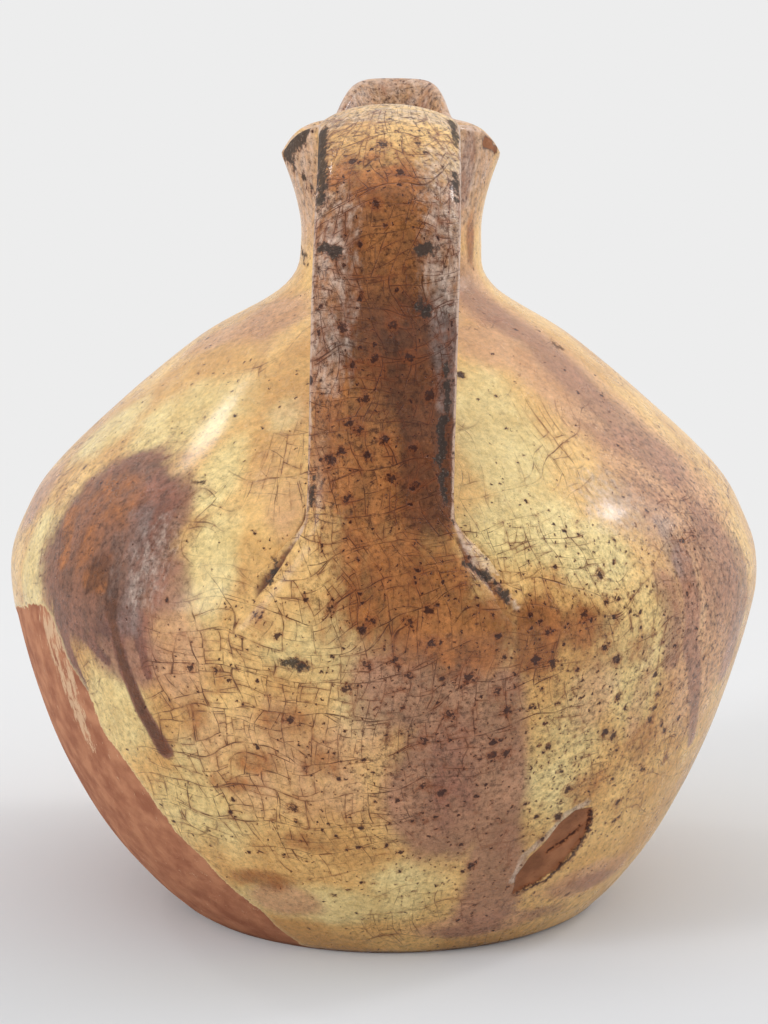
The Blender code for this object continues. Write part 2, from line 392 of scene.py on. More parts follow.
@dataclass
class PhotoCamera:
    """The camera of the photo: behind the handle, a little above the rim, looking slightly down."""

    back: float = 0.8179
    height: float = 0.2652
    focal_px: float = 2800.0
    frame_px: tuple[int, int] = (768, 1024)
    sensor_mm: float = 36.0
    nearest: float = 0.05

    @property
    def pitch(self) -> float:
        """How far it looks down, in radians: its horizon is the picture's top edge."""
        return math.atan(self.frame_px[1] / 2 / self.focal_px)

    def build(self) -> None:
        """Makes the camera the scene's own."""
        lens = bpy.data.cameras.new("photo_camera")
        lens.sensor_width = self.sensor_mm
        lens.lens = self.focal_px * self.sensor_mm / self.frame_px[1]
        lens.clip_start = self.nearest
        obj = bpy.data.objects.new("photo_camera", lens)
        obj.location = (0, -self.back, self.height)
        obj.rotation_euler = (math.pi / 2 - self.pitch, 0, 0)
        bpy.context.scene.collection.objects.link(obj)
        bpy.context.scene.camera = obj

    def ray(self, seen: Seen) -> tuple[Vector, Vector]:
        """Where the camera stands, and the direction in which it sees a pixel.

        Args:
            seen: the pixel.

        Returns:
            The camera's place and the direction, of length 1.
        """
        right = (seen.across - self.frame_px[0] / 2) / self.focal_px
        up = (self.frame_px[1] / 2 - seen.down) / self.focal_px
        c, s = math.cos(self.pitch), math.sin(self.pitch)
        return Vector((0, -self.back, self.height)), Vector((right, c + up * s, up * c - s)).normalized()


@dataclass(frozen=True)
class Window:
    """A part of the pot's outside, in degrees from the handle and millimetres above the table."""

    left: float
    right: float
    low: float
    high: float
    cuts: int

    def holds(self, bearing: float, height: float) -> bool:
        """Whether a place lies in it."""
        return self.left < bearing < self.right and self.low < height < self.high


@dataclass
class ThrownPot:
    """The thrown body, its collar and its pulled mouth, as one glazed shell."""

    wall: float = 0.0055
    collar_wall: float = 0.0048
    floor: float = 0.008
    floor_round: float = 0.003
    foot_lift: float = 0.0012
    foot_ring: float = 0.007
    foot_bevel: float = 0.0015
    foot_bevel_rise: float = 0.0003
    lip_half_thickness: float = 0.0019
    lip_steps: int = 10
    lobe_flare: float = 0.0041
    lobe_flare_spread: float = math.radians(44)
    lobe_drop: float = 0.008
    lobe_drop_spread: float = math.radians(23)
    spout_angle: float = math.radians(88)
    spout_reach: float = 0.0165
    spout_spread: float = math.radians(30)
    spout_rise: float = 0.011
    spout_sharpness: float = 4
    pinch_depth: float = 0.0035
    pinch_angle: float = math.radians(46)
    pinch_spread: float = math.radians(15)
    most_pull: float = 1.2
    foot_stray: float = 0.0013
    wall_bow: float = 0.0009
    shoulder_stray: float = 0.0003
    neck_stray: float = 0.0020
    turns: int = 192
    span_steps: int = 24
    outer_step: float = 0.0025
    inner_step: float = 0.007
    radii: tuple = (0.0625, 0.0738, 0.0868, 0.1005, 0.110, 0.1053, 0.0926, 0.0567, 0.0306, 0.0262, 0.0285)
    rises: tuple = (0.0, 0.0115, 0.0185, 0.030, 0.0375, 0.0205, 0.0175, 0.031, 0.0166, 0.0144, 0.0254)
    outline: np.ndarray = None
    lengths: np.ndarray = None

    def __post_init__(self) -> None:
        """Works out the outline from its stations."""
        heights = np.cumsum(self.rises)
        self.outline = catmull_rom([np.array(pair) for pair in zip(self.radii, heights)], self.span_steps)
        self.lengths = lengths_along(self.outline) / MM
        self.belly_radius, self.belly_height = self.radii[4], heights[4]
        self.shoulder_height, self.dome_height = heights[6], heights[7]
        self.neck_height, self.rim_height = heights[9], heights[10]
        self.lip_height = self.rim_height - 2 * self.lip_half_thickness

    def radius(self, height: np.ndarray) -> np.ndarray:
        """The outer radius at a height."""
        return np.interp(height, self.outline[:, 1], self.outline[:, 0])

    def north(self, height: np.ndarray) -> np.ndarray:
        """The length of the outline from the foot up to a height, in millimetres."""
        return np.interp(height, self.outline[:, 1], self.lengths)

    def normals(self) -> np.ndarray:
        """The outline's outward directions, one row for each of its points.

        Returns:
            The directions, as (out, up).
        """
        along = np.gradient(self.outline, axis=0)
        out = np.stack([along[:, 1], -along[:, 0]], axis=1)
        return out / np.linalg.norm(out, axis=1)[:, None]

    def stray(self, height: np.ndarray) -> np.ndarray:
        """How far the hand-thrown axis strays to +X at a height.

        Args:
            height: metres above the table, one or many.

        Returns:
            The stray in metres, for each height.
        """
        share = np.clip(height / self.belly_height, 0, 1)
        low = self.foot_stray * (1 - share) ** 3 - self.wall_bow * np.sin(math.pi * share)
        shoulder = smoothstep(self.belly_height, self.shoulder_height, height)
        neck = smoothstep(self.dome_height, self.neck_height, height)
        high = self.shoulder_stray * shoulder + (self.neck_stray - self.shoulder_stray) * neck
        return np.where(height < self.belly_height, low, high)

    def mouth_reach(self, angle: np.ndarray) -> np.ndarray:
        """How much further out than the plain rim the pulled mouth stands, by angle.

        Args:
            angle: turns round the neck from the handle, in radians.

        Returns:
            The distance in metres, for each angle.
        """
        lobes = bump(angle, 0, self.lobe_flare_spread) + bump(angle, math.pi, self.lobe_flare_spread)
        pinches = bump(angle, self.pinch_angle, self.pinch_spread)
        pinches = pinches + bump(angle, math.pi - self.pinch_angle, self.pinch_spread)
        spout = bump(angle, self.spout_angle, self.spout_spread)
        return self.lobe_flare * lobes - self.pinch_depth * pinches + self.spout_reach * spout

    def mouth_rise(self, angle: np.ndarray) -> np.ndarray:
        """How much higher than the lobes' low tips the rim stands, by angle.

        Args:
            angle: turns round the neck from the handle, in radians.

        Returns:
            The rise in metres, for each angle.
        """
        tips = bump(angle, 0, self.lobe_drop_spread) + bump(angle, math.pi, self.lobe_drop_spread)
        spout = bump(angle, self.spout_angle, self.spout_spread, self.spout_sharpness)
        return self.lobe_drop * (1 - tips) + self.spout_rise * spout

    def pull(self, height: np.ndarray) -> np.ndarray:
        """How much of the mouth's shape has come in at a height of the plain pot."""
        share = (height - self.neck_height) / (self.rim_height - self.neck_height)
        return np.clip(share, 0, self.most_pull) ** 2

    def mouth_radius(self, angle: float, height: float) -> float:
        """How far out the neck's shaped outer face stands at an angle and a height.

        Args:
            angle: the turn round the neck from the handle, in radians.
            height: metres above the table.

        Returns:
            The distance from the pot's axis, in metres.
        """
        rise = self.mouth_rise(np.array(angle))
        plain = height - rise * self.pull(height)
        plain = height - rise * self.pull(plain)
        return float(self.radius(plain) + self.mouth_reach(np.array(angle)) * self.pull(plain))

    def shaped(self, points: np.ndarray) -> np.ndarray:
        """Moves points of the plain turned pot to where the potter's hands left them.

        Args:
            points: places on the plain pot, one row each.

        Returns:
            The places on the real one.
        """
        angle = np.arctan2(points[:, 1], points[:, 0])
        height = points[:, 2]
        pull = self.pull(height)
        reach = np.hypot(points[:, 0], points[:, 1])
        reach = np.where(reach > TINY, reach + self.mouth_reach(angle) * pull, reach)
        x = reach * np.cos(angle) + self.stray(height)
        return np.stack([x, reach * np.sin(angle), height + self.mouth_rise(angle) * pull], axis=1)

    def profile(self) -> list[tuple[float, float]]:
        """The shell's closed profile as (radius, height), from the middle of its underside to its floor.

        Returns:
            The profile's points, in order.
        """
        top = self.rim_height - self.lip_half_thickness
        total = self.lengths[-1] * MM
        stops = np.linspace(0, total, round(total / self.outer_step)) / MM
        outer = [(r, z) for r, z in resampled(stops, self.lengths, self.outline) if z < top]
        neck = smoothstep(self.dome_height, self.neck_height, self.outline[:, 1])
        thick = self.wall + (self.collar_wall - self.wall) * neck
        inside = self.outline - self.normals() * thick[:, None]
        stops = np.linspace(0, self.lengths[-1], round(total / self.inner_step))
        low = self.floor + self.floor_round
        inner = [(r, z) for r, z in resampled(stops, self.lengths, inside) if low < z < top]
        middle = (outer[-1][0] + inner[-1][0]) / 2
        half = (outer[-1][0] - inner[-1][0]) / 2
        lip = [
            (middle + half * math.cos(turn), top + self.lip_half_thickness * math.sin(turn))
            for turn in np.linspace(0, math.pi, self.lip_steps)[1:-1]
        ]
        foot = self.radii[0]
        hollow = foot - self.foot_ring
        under = [(0.0, self.foot_lift), (hollow, self.foot_lift)]
        under += [(hollow + self.foot_bevel, self.foot_bevel_rise), (foot - self.foot_bevel, 0.0)]
        inward = [(inner[0][0] * share, self.floor) for share in (0.95, 0.6, 0.3)]
        return [*under, *outer[1:], *lip, *reversed(inner), *inward, (0.0, self.floor)]

    def build_plain(self) -> bmesh.types.BMesh:
        """Spins the profile to the plain pot, before any hand touched it.

        Returns:
            The plain pot's faces.
        """
        bm = bmesh.new()
        corners = [bm.verts.new((radius, 0, height)) for radius, height in self.profile()]
        edges = [bm.edges.new(pair) for pair in zip(corners, corners[1:])]
        around = {"cent": (0, 0, 0), "axis": (0, 0, 1), "angle": 2 * math.pi, "steps": self.turns}
        bmesh.ops.spin(bm, geom=corners + edges, use_merge=True, **around)
        bmesh.ops.remove_doubles(bm, verts=bm.verts, dist=WELD)
        bmesh.ops.recalc_face_normals(bm, faces=bm.faces)
        return bm

    def refine(self, bm: bmesh.types.BMesh, windows: tuple[Window, ...]) -> None:
        """Makes the mesh finer where crisp marks lie on the outside.

        Args:
            bm: the plain pot.
            windows: the parts to refine.
        """
        for window in windows:
            chosen = []
            for face in bm.faces:
                centre = face.calc_center_median()
                reach = math.hypot(centre.x, centre.y)
                if abs(reach - self.radius(centre.z)) > self.wall / 3:
                    continue
                if window.holds(math.degrees(math.atan2(centre.x, -centre.y)), centre.z / MM):
                    chosen.append(face)
            edges = list(dict.fromkeys(edge for face in chosen for edge in face.edges))
            bmesh.ops.subdivide_edges(bm, edges=edges, cuts=window.cuts, use_grid_fill=True)

    def rounded(self, plain: np.ndarray, outside: np.ndarray) -> np.ndarray:
        """Moves refined points of the plain pot's wall out from their faces to the true round.

        Args:
            plain: places on the plain pot, one row each.
            outside: whether each lies on its outside.

        Returns:
            The places on the round.
        """
        on_wall = outside & (plain[:, 2] < self.lip_height) & (plain[:, 2] > MM)
        reach = np.hypot(plain[:, 0], plain[:, 1])
        true_reach = np.where(on_wall, self.radius(plain[:, 2]), reach)
        scale = np.where(reach > TINY, true_reach / np.maximum(reach, TINY), 1.0)
        return plain * np.stack([scale, scale, np.ones(len(plain))], axis=1)

    def skin(self, points: np.ndarray) -> Skin:
        """Where points of the plain pot lie on its surface.

        Args:
            points: their places, one row each.

        Returns:
            Their places on its skin.
        """
        bearing = np.arctan2(points[:, 0], -points[:, 1])
        girth = np.hypot(points[:, 0], points[:, 1]) / MM
        return Skin(bearing, self.north(points[:, 2]), girth, True)

    def outside(self, points: np.ndarray) -> np.ndarray:
        """Whether points of the plain pot lie on its outer face or lip."""
        gap = self.radius(points[:, 2]) - np.hypot(points[:, 0], points[:, 1])
        return ((gap < self.wall / 3) | (points[:, 2] > self.lip_height)) & (points[:, 2] > TINY)


@dataclass
class PulledHandle:
    """The broad strap handle, pulled by hand, bent over to the shoulder and smeared out on the belly."""

    pot: ThrownPot
    width: float = 0.0382
    half_edge: float = 0.0034
    crown: float = 0.0037
    belly: float = 0.0010
    squareness: float = 0.62
    shoulder: float = 0.25
    bite: float = 0.004
    seat_depth: float = 0.0022
    top_rise: float = 0.0060
    seat_drop: float = 0.0062
    crest_reach: float = 0.060
    knuckle_inset: float = 0.0185
    knuckle_drop: float = 0.021
    grip_inset: float = 0.0135
    grip_drop: float = 0.058
    wrist_inset: float = 0.0115
    wrist_rise: float = 0.044
    ankle_proud: float = 0.0006
    ankle_rise: float = 0.019
    root_rise: float = 0.006
    root_width: float = 0.076
    root_half_edge: float = 0.0018
    root_crown: float = 0.0006
    flare_length: float = 0.030
    flare_power: float = 1.2
    tail_flare: float = 0.5
    most_flare: float = 1.35
    wrap_haste: float = 5
    tail_length: float = 0.020
    tail_depth: float = 0.0055
    top_stray: float = 0.0014
    root_stray: float = -0.0019
    top_fillet: float = 0.007
    root_fillet: float = 0.010
    fillet_at_edge: float = 0.35
    sides: int = 88
    span_steps: int = 60
    tail_steps: int = 24
    turn_steps: int = 4001
    step: float = 0.0010

    @property
    def root_height(self) -> float:
        """How high the strap's root lies on the belly."""
        return self.pot.belly_height + self.root_rise

    def centreline(self) -> tuple[np.ndarray, float, float]:
        """The middle of the strap from the neck over the crest down to the belly, and on under its skin.

        Returns:
            Its points as (forward, height), its length down to the root and its whole length.
        """
        pot = self.pot
        back = np.array(-math.pi / 2)
        rim_back = pot.rim_height + float(pot.mouth_rise(back))
        top = rim_back + self.top_rise - self.half_edge - self.crown
        root = self.root_height
        ankle = root + self.ankle_rise
        points = [
            (self.bite - pot.radii[-1] - float(pot.mouth_reach(back)), rim_back - self.seat_drop),
            (-self.crest_reach, top),
            (self.knuckle_inset - pot.belly_radius, top - self.knuckle_drop),
            (self.grip_inset - pot.belly_radius, top - self.grip_drop),
            (self.wrist_inset - pot.belly_radius, root + self.wrist_rise),
            (-float(pot.radius(ankle)) - self.ankle_proud, ankle),
            (-float(pot.radius(root)), root),
        ]
        fine = catmull_rom([np.array(point) for point in points], self.span_steps)
        down = np.linspace(0, self.tail_length, self.tail_steps)[1:]
        sink = self.tail_depth * smoothstep(0, self.tail_length, down)
        whole = np.vstack([fine, np.stack([sink - pot.radius(root - down), root - down], axis=1)])
        lengths = lengths_along(whole)
        stops = np.linspace(0, lengths[-1], round(lengths[-1] / self.step))
        return resampled(stops, lengths, whole), lengths_along(fine)[-1], lengths[-1]

    def section(self, turn: np.ndarray, flare: float) -> tuple[np.ndarray, np.ndarray]:
        """The strap's section as (across, outward) in metres, where turn goes once round it.

        Args:
            turn: how far round the section each point is, in radians.
            flare: how far the strap has spread.

        Returns:
            The distances across and outward, for each turn.
        """
        across, outward = np.cos(turn), np.sin(turn)
        half_width = (self.width + (self.root_width - self.width) * flare) / 2
        half_edge = self.half_edge + (self.root_half_edge - self.half_edge) * flare
        crown = self.crown + (self.root_crown - self.crown) * flare
        share = np.sign(across) * np.abs(across) ** self.squareness
        arch = np.where(outward > 0, crown, self.belly) * (1 - share**2)
        edge = half_edge * np.abs(outward) ** self.squareness
        depth = edge + arch * smoothstep(0, self.shoulder, np.abs(outward))
        return half_width * share, np.sign(outward) * depth

    def even_turns(self) -> np.ndarray:
        """Turns whose places on the section stand evenly apart.

        Returns:
            The turns, in radians.
        """
        turn = np.linspace(0, 2 * math.pi, self.turn_steps)
        lengths = lengths_along(np.stack(self.section(turn, 0.0), axis=1))
        return np.interp(np.linspace(0, lengths[-1], self.sides + 1)[:-1], lengths, turn)

    def flare(self, gone: float, to_root: float) -> float:
        """How far the strap has spread to its root's width, by the length that is gone.

        Args:
            gone: the length from the strap's start.
            to_root: the length at which the root is reached.

        Returns:
            The share of the spread.
        """
        if gone > to_root:
            return min(1 + (gone - to_root) / self.flare_length * self.tail_flare, self.most_flare)
        return max(1 - (to_root - gone) / self.flare_length, 0.0) ** self.flare_power

    def build(self) -> tuple[bmesh.types.BMesh, dict]:
        """Extrudes the section along the centreline.

        Returns:
            The strap, and its layers across, along, outward and edge.
        """
        middle, to_root, whole = self.centreline()
        count = len(middle)
        bm = bmesh.new()
        layers = {name: bm.verts.layers.float.new(name) for name in ("across", "along", "outward", "edge")}
        turn_of = bm.verts.layers.float.new("turn")
        ring = bmesh.ops.create_circle(bm, cap_ends=True, segments=self.sides, radius=1)["verts"]
        for vert, turn in zip(ring, self.even_turns()):
            vert[turn_of] = turn
        end = next(iter(bm.faces))
        radius = self.pot.belly_radius
        for i, centre in enumerate(middle):
            if i:
                made = bmesh.ops.extrude_face_region(bm, geom=[end])["geom"]
                if i > 1:
                    bmesh.ops.delete(bm, geom=[end], context="FACES_ONLY")
                end = next(item for item in made if isinstance(item, bmesh.types.BMFace))
            gone = whole * i / (count - 1)
            tangent = middle[min(i + 1, count - 1)] - middle[max(i - 1, 0)]
            out = Vector((0, tangent[1], -tangent[0])).normalized()
            flare = self.flare(gone, to_root)
            half = abs(float(self.section(np.array(0.0), flare)[0]))
            share = (centre[1] - self.root_height) / (middle[0][1] - self.root_height)
            stray = self.root_stray + (self.top_stray - self.root_stray) * share
            for vert in end.verts:
                x, depth = (float(value) for value in self.section(np.array(vert[turn_of]), flare))
                sag = radius - math.sqrt(radius**2 - x**2)
                wrap = min(self.wrap_haste * flare, 1.0) * sag
                vert.co = Vector((x + stray, centre[0] + wrap, centre[1])) + out * depth
                for name, value in zip(layers, (x, gone, depth, half - abs(x))):
                    vert[layers[name]] = value / MM
        bmesh.ops.recalc_face_normals(bm, faces=bm.faces)
        return bm, layers

    def fillet(self, bm: bmesh.types.BMesh, layers: dict) -> None:
        """Fattens the strap's underside where it meets the pot, as the smeared clay does.

        Args:
            bm: the strap's faces.
            layers: the strap's own measures, kept on its points.
        """
        moves = []
        for vert in bm.verts:
            height = vert.co.z
            if vert[layers["outward"]] > 0 or height < self.root_height:
                continue
            size = self.top_fillet if height > self.pot.dome_height else self.root_fillet
            reach = math.hypot(vert.co.x, vert.co.y)
            low, high = self.pot.radius(height - MM), self.pot.radius(height + MM)
            slope = math.atan2(float(low - high), 2 * MM)
            gap = (reach - float(self.pot.radius(height))) * math.cos(slope)
            if gap > size:
                continue
            left = size - max(gap, 0.0)
            grow = size - math.sqrt(max(size**2 - left**2, 0.0))
            middle = 1 - min(abs(vert[layers["across"]]) * MM / (self.width / 2), 1.0) ** 4
            share = self.fillet_at_edge + (1 - self.fillet_at_edge) * middle
            moves.append((vert, vert.normal * grow * share))
        bm.normal_update()
        for vert, move in moves:
            vert.co += move

    def seat(self, bm: bmesh.types.BMesh) -> None:
        """Keeps the strap's end within the neck's wall, so that none of it shows inside the mouth.

        Args:
            bm: the strap's faces.
        """
        for vert in bm.verts:
            if vert.co.z < self.pot.dome_height:
                continue
            stray = float(self.pot.stray(np.array(vert.co.z)))
            x, y = vert.co.x - stray, vert.co.y
            least = self.pot.mouth_radius(math.atan2(y, x), vert.co.z) - self.seat_depth
            grow = max(least / max(math.hypot(x, y), TINY), 1.0)
            vert.co.x, vert.co.y = stray + x * grow, y * grow


def grain(spots: Socket, size_mm: float, detail: float, rough: float = 0.5) -> tuple:
    """The inputs of a noise, in their order on its node, for a grain of a real size in millimetres."""
    return spots, None, 1 / (size_mm * MM), detail, rough


@dataclass
class Nodes:
    """The node tree of a material or a world, as it is built."""

    owner: bpy.types.ID
    spots: Socket = None

    def __post_init__(self) -> None:
        """Empties the tree, and adds the coordinates that a material's patterns are laid by."""
        self.owner.use_nodes = True
        self.owner.node_tree.nodes.clear()
        if isinstance(self.owner, bpy.types.Material):
            self.spots = self.add("TexCoord", out="Object")

    def add(
        self, kind: str, inputs: dict | tuple = (), out: int | str | None = 0, **settings: object
    ) -> Socket:
        """Adds a node with its settings and its links.

        Args:
            kind: the node's type name, without its first word.
            inputs: in order or by name or number, values or the outputs that feed them. None leaves one as
                it is.
            out: the output that is wanted, or None for all of them.
            **settings: the node's own properties.

        Returns:
            That output, or all of them.
        """
        made = self.owner.node_tree.nodes.new("ShaderNode" + kind)
        for name, value in settings.items():
            setattr(made, name, value)
        for slot, value in inputs.items() if isinstance(inputs, dict) else enumerate(inputs):
            if isinstance(value, Socket):
                self.owner.node_tree.links.new(value, made.inputs[slot])
            elif value is not None:
                made.inputs[slot].default_value = value
        return made.outputs if out is None else made.outputs[out]

    def wandering(self, noise_inputs: tuple, reach_mm: float) -> Socket:
        """The coordinates, moved about by a soft noise by up to about half a reach each way.

        Args:
            noise_inputs: the noise's inputs, as grain gives them.
            reach_mm: the reach.

        Returns:
            The moved coordinates.
        """
        drift = self.add("TexNoise", noise_inputs, "Color")
        centred = self.add("VectorMath", (drift, (0.5, 0.5, 0.5)), operation="SUBTRACT")
        return self.add("VectorMath", (centred, (reach_mm * MM,) * 3, self.spots), operation="MULTIPLY_ADD")

    def ragged(self, layer: Layer, noise_inputs: tuple, reach: float) -> Socket:
        """A painted layer, whose edge a noise eats into by up to about half a reach each way.

        Args:
            layer: the layer.
            noise_inputs: the noise's inputs, as grain gives them.
            reach: the reach, in the layer's own units.

        Returns:
            The eaten layer.
        """
        drawn = self.add("Attribute", out="Fac", attribute_name=layer.value)
        bites = self.add("TexNoise", noise_inputs)
        centred = self.add("Math", (bites, 0.5), operation="SUBTRACT")
        return self.add("Math", (centred, reach, drawn), operation="MULTIPLY_ADD")


@dataclass(frozen=True)
class Pigment:
    """A colour laid in soft clouds over those before it. Most lie in the glaze, two are painted sheen, and
    some marks of the dark ones are painted shade.

    grain_mm is the size of the clouds' ragged edge, flow stretches it downhill, and ragged says how much
    it eats in.
    """

    layer: Layer
    light: str
    dark: str
    grain_mm: float
    ragged: float
    soft: float
    strength: float
    flow: float = 1.0


@dataclass(frozen=True)
class CrackSet:
    """One set of cracks in the crazing.

    They lean by lean degrees from level, more by up to turn from cell to cell, apart_mm apart. They sway by
    some of that over sway_mm. They show where dirt and the painted layer together pass low, and get as dark
    as most. whole is the share of cells that they leave whole.
    """

    lean: float
    turn: float
    apart_mm: float
    line_mm: float
    sway: float
    sway_mm: float
    low: float
    most: float
    whole: float = 0.0


@dataclass(frozen=True)
class SpeckSet:
    """Iron specks of one size: how far apart and how large they may be, and the share that is everywhere."""

    apart_mm: float
    largest_mm: float
    rare: float


@dataclass(frozen=True)
class Break:
    """How a crisp layer ends: its ragged edge's size and reach, how hard it is, and the rim beside it."""

    layer: Layer
    edge: tuple
    ragged_mm: float
    hard_mm: float
    most: float
    rim: str
    rim_mm: float
    rim_most: float


@dataclass(frozen=True)
class LeadGlaze:
    """Yellow-ochre lead glaze, brushed and dipped over red terracotta and fired in a wood kiln.

    It is clear and glossy over the clay, so the iron in it shows as clouds, runs and specks, and it has
    crazed. Each field that ends in noise holds a grain in millimetres, its octaves and their roughness.
    """

    name: str = "crazed_ochre_lead_glaze"
    ochre_light: str = "#e2b874"
    ochre_dark: str = "#c89858"
    clay: str = "#c48865"
    clay_dark: str = "#a2664a"
    slip: str = "#dcb995"
    crack: str = "#4c2209"
    speck: str = "#381406"
    halo: str = "#8f4a20"
    soot: str = "#35312d"
    ash: str = "#8d8378"
    scar: str = "#a9714e"
    scar_dark: str = "#835338"
    arris: str = "#cfb09a"
    grime: str = "#48220e"
    cloud_noise: tuple = (34.0, 5.0, 0.6)
    mottle_noise: tuple = (2.0, 8.0, 0.78)
    grime_noise: tuple = (1.6, 8.0, 0.78)
    arris_noise: tuple = (4.0, 6.0, 0.7)
    swirl_noise: tuple = (46.0, 2.0, 0.4)
    dirt_noise: tuple = (22.0, 4.0)
    stutter_noise: tuple = (3.0, 4.0)
    blot_noise: tuple = (6.0, 5.0)
    wobble_noise: tuple = (1.1, 4.0)
    clay_noise: tuple = (6.0, 8.0)
    streak_noise: tuple = (2.0, 6.0, 0.78)
    fleck_noise: tuple = (0.9, 5.0, 0.75)
    gloss_noise: tuple = (5.0, 5.0)
    skin_noise: tuple = (6.0, 6.0, 0.74)
    mottle: float = 0.30
    lift: float = 1.13
    least_grime: float = 0.22
    grime_swing: float = 2.2
    arris_reach: float = 1.6
    girth_mm: float = 100.0
    swirl_reach_mm: float = 36.0
    painted_dirt: float = 0.28
    dirt_fade: float = 0.22
    stain_mm: float = 1.1
    stain_most: float = 0.40
    wobble_reach_mm: float = 2.4
    least_speck: float = 0.35
    streak_stretch: float = 0.22
    slip_left: float = 0.17
    roughness: float = 0.30
    clay_roughness: float = 0.85
    coat: float = 0.22
    coat_roughness: float = 0.14
    ior: float = 1.37
    swell: float = 3.0
    crack_depth: float = 0.5
    pit_depth: float = 0.9
    relief_strength: float = 0.7
    relief_m: float = 0.0003
    pigments: tuple = (
        Pigment(Layer.STRAW, "#e7d294", "#d4b979", 18, 1.1, 0.45, 0.9),
        Pigment(Layer.TAN, "#cf9f78", "#b98560", 12, 1.1, 0.45, 0.80, 0.6),
        Pigment(Layer.MAUVE, "#ab7a60", "#835a47", 13, 1.1, 0.40, 0.88, 0.5),
        Pigment(Layer.UMBER, "#8c5946", "#623c30", 8, 1.0, 0.28, 0.94, 0.35),
        Pigment(Layer.RUST, "#a8652f", "#7a4519", 6, 1.3, 0.45, 0.92, 0.45),
        Pigment(Layer.TREACLE, "#714020", "#46240f", 8, 1.4, 0.45, 0.92, 0.35),
        # The last two pigments are painted sheen: a grey one, and a pale one that also serves for worn lines.
        Pigment(Layer.SMOKE, "#8f7e76", "#6c5d58", 4, 1.6, 0.60, 0.70, 0.4),
        Pigment(Layer.PALE, "#cdb8a8", "#a3907f", 2.0, 2.4, 0.60, 0.62, 0.4),
    )
    cracks: tuple = (
        CrackSet(10, 0, 10.0, 0.26, 1.2, 34, 0.47, 0.90),
        CrackSet(96, 26, 7.6, 0.24, 0.9, 26, 0.48, 0.90, 0.03),
        CrackSet(6, 34, 5.2, 0.21, 0.6, 18, 0.50, 0.85, 0.08),
        CrackSet(92, 44, 3.8, 0.19, 0.5, 14, 0.53, 0.80, 0.16),
        CrackSet(0, 50, 2.8, 0.17, 0.4, 10, 0.58, 0.70, 0.40),
    )
    speck_sets: tuple = (SpeckSet(7.0, 1.5, 0.01), SpeckSet(3.4, 0.92, 0.04), SpeckSet(1.5, 0.46, 0.09))
    broken: tuple = (
        Break(Layer.BARE, (2.6, 6.0, 0.68), 5.0, 0.25, 1.0, "#ecd090", 2.0, 0.50),
        Break(Layer.CHIP, (2.6, 6.0, 0.68), 2.4, 0.20, 0.95, "#381406", 0.5, 0.80),
        Break(Layer.SPOT, (1.1, 4.0, 0.7), 5.0, 0.30, 0.92, "#8f4a20", 1.4, 0.50),
        Break(Layer.SOOT, (2.6, 6.0, 0.68), 9.0, 0.60, 0.88, "#8f4a20", 0.9, 0.40),
    )

    def build(self) -> bpy.types.Material:
        """Builds the material, which reads the layers from the mesh.

        Returns:
            The material.
        """
        material = bpy.data.materials.new(self.name)
        nodes = Nodes(material)
        colour = self.ground(nodes)
        for pigment in self.pigments:
            colour = self.wash(nodes, colour, pigment)
        colour = self.mottled(nodes, colour)
        colour, cracks = self.crazing(nodes, colour)
        colour, pits = self.specks(nodes, colour)
        colour, rough = self.breaks(nodes, colour)
        self.surface(nodes, colour, rough, cracks, pits)
        return material

    def ground(self, nodes: Nodes) -> Socket:
        """The ochre glaze itself, thinner and thicker in slow clouds.

        Args:
            nodes: the material's nodes.

        Returns:
            Its colour.
        """
        clouds = nodes.add("TexNoise", grain(nodes.spots, *self.cloud_noise))
        thick = nodes.add("MapRange", (clouds, 0.38, 0.62), interpolation_type="SMOOTHSTEP")
        tints = {6: linear(self.ochre_dark), 7: linear(self.ochre_light)}
        return nodes.add("Mix", {0: thick, **tints}, 2, data_type="RGBA")

    def wash(self, nodes: Nodes, below: Socket, pigment: Pigment) -> Socket:
        """Lays one pigment over the colour below, ragged at its edge and clouded inside.

        Args:
            nodes: the material's nodes.
            below: the colour so far.
            pigment: what is laid.

        Returns:
            The colour with it.
        """
        drawn = nodes.add("Attribute", out="Fac", attribute_name=pigment.layer.value)
        flowing = nodes.add("Mapping", {"Vector": nodes.spots, "Scale": (1, 1, pigment.flow)})
        clouds = nodes.add("TexNoise", grain(flowing, pigment.grain_mm, 6.0, 0.62))
        shifted = nodes.add("Math", (clouds, 0.5), operation="SUBTRACT")
        near = nodes.add("Math", (drawn, 5 * pigment.ragged), operation="MULTIPLY", use_clamp=True)
        reach = nodes.add("Math", (near, pigment.ragged), operation="MULTIPLY")
        eaten = nodes.add("Math", (shifted, reach, drawn), operation="MULTIPLY_ADD")
        edge = (0.5 - pigment.soft, 0.5 + pigment.soft, 0.0, pigment.strength)
        share = nodes.add("MapRange", (eaten, *edge), interpolation_type="SMOOTHSTEP")
        shade = nodes.add("MapRange", (clouds, 0.36, 0.64))
        tints = {6: linear(pigment.dark), 7: linear(pigment.light)}
        tint = nodes.add("Mix", {0: shade, **tints}, 2, data_type="RGBA")
        return nodes.add("Mix", {0: share, 6: below, 7: tint}, 2, data_type="RGBA")

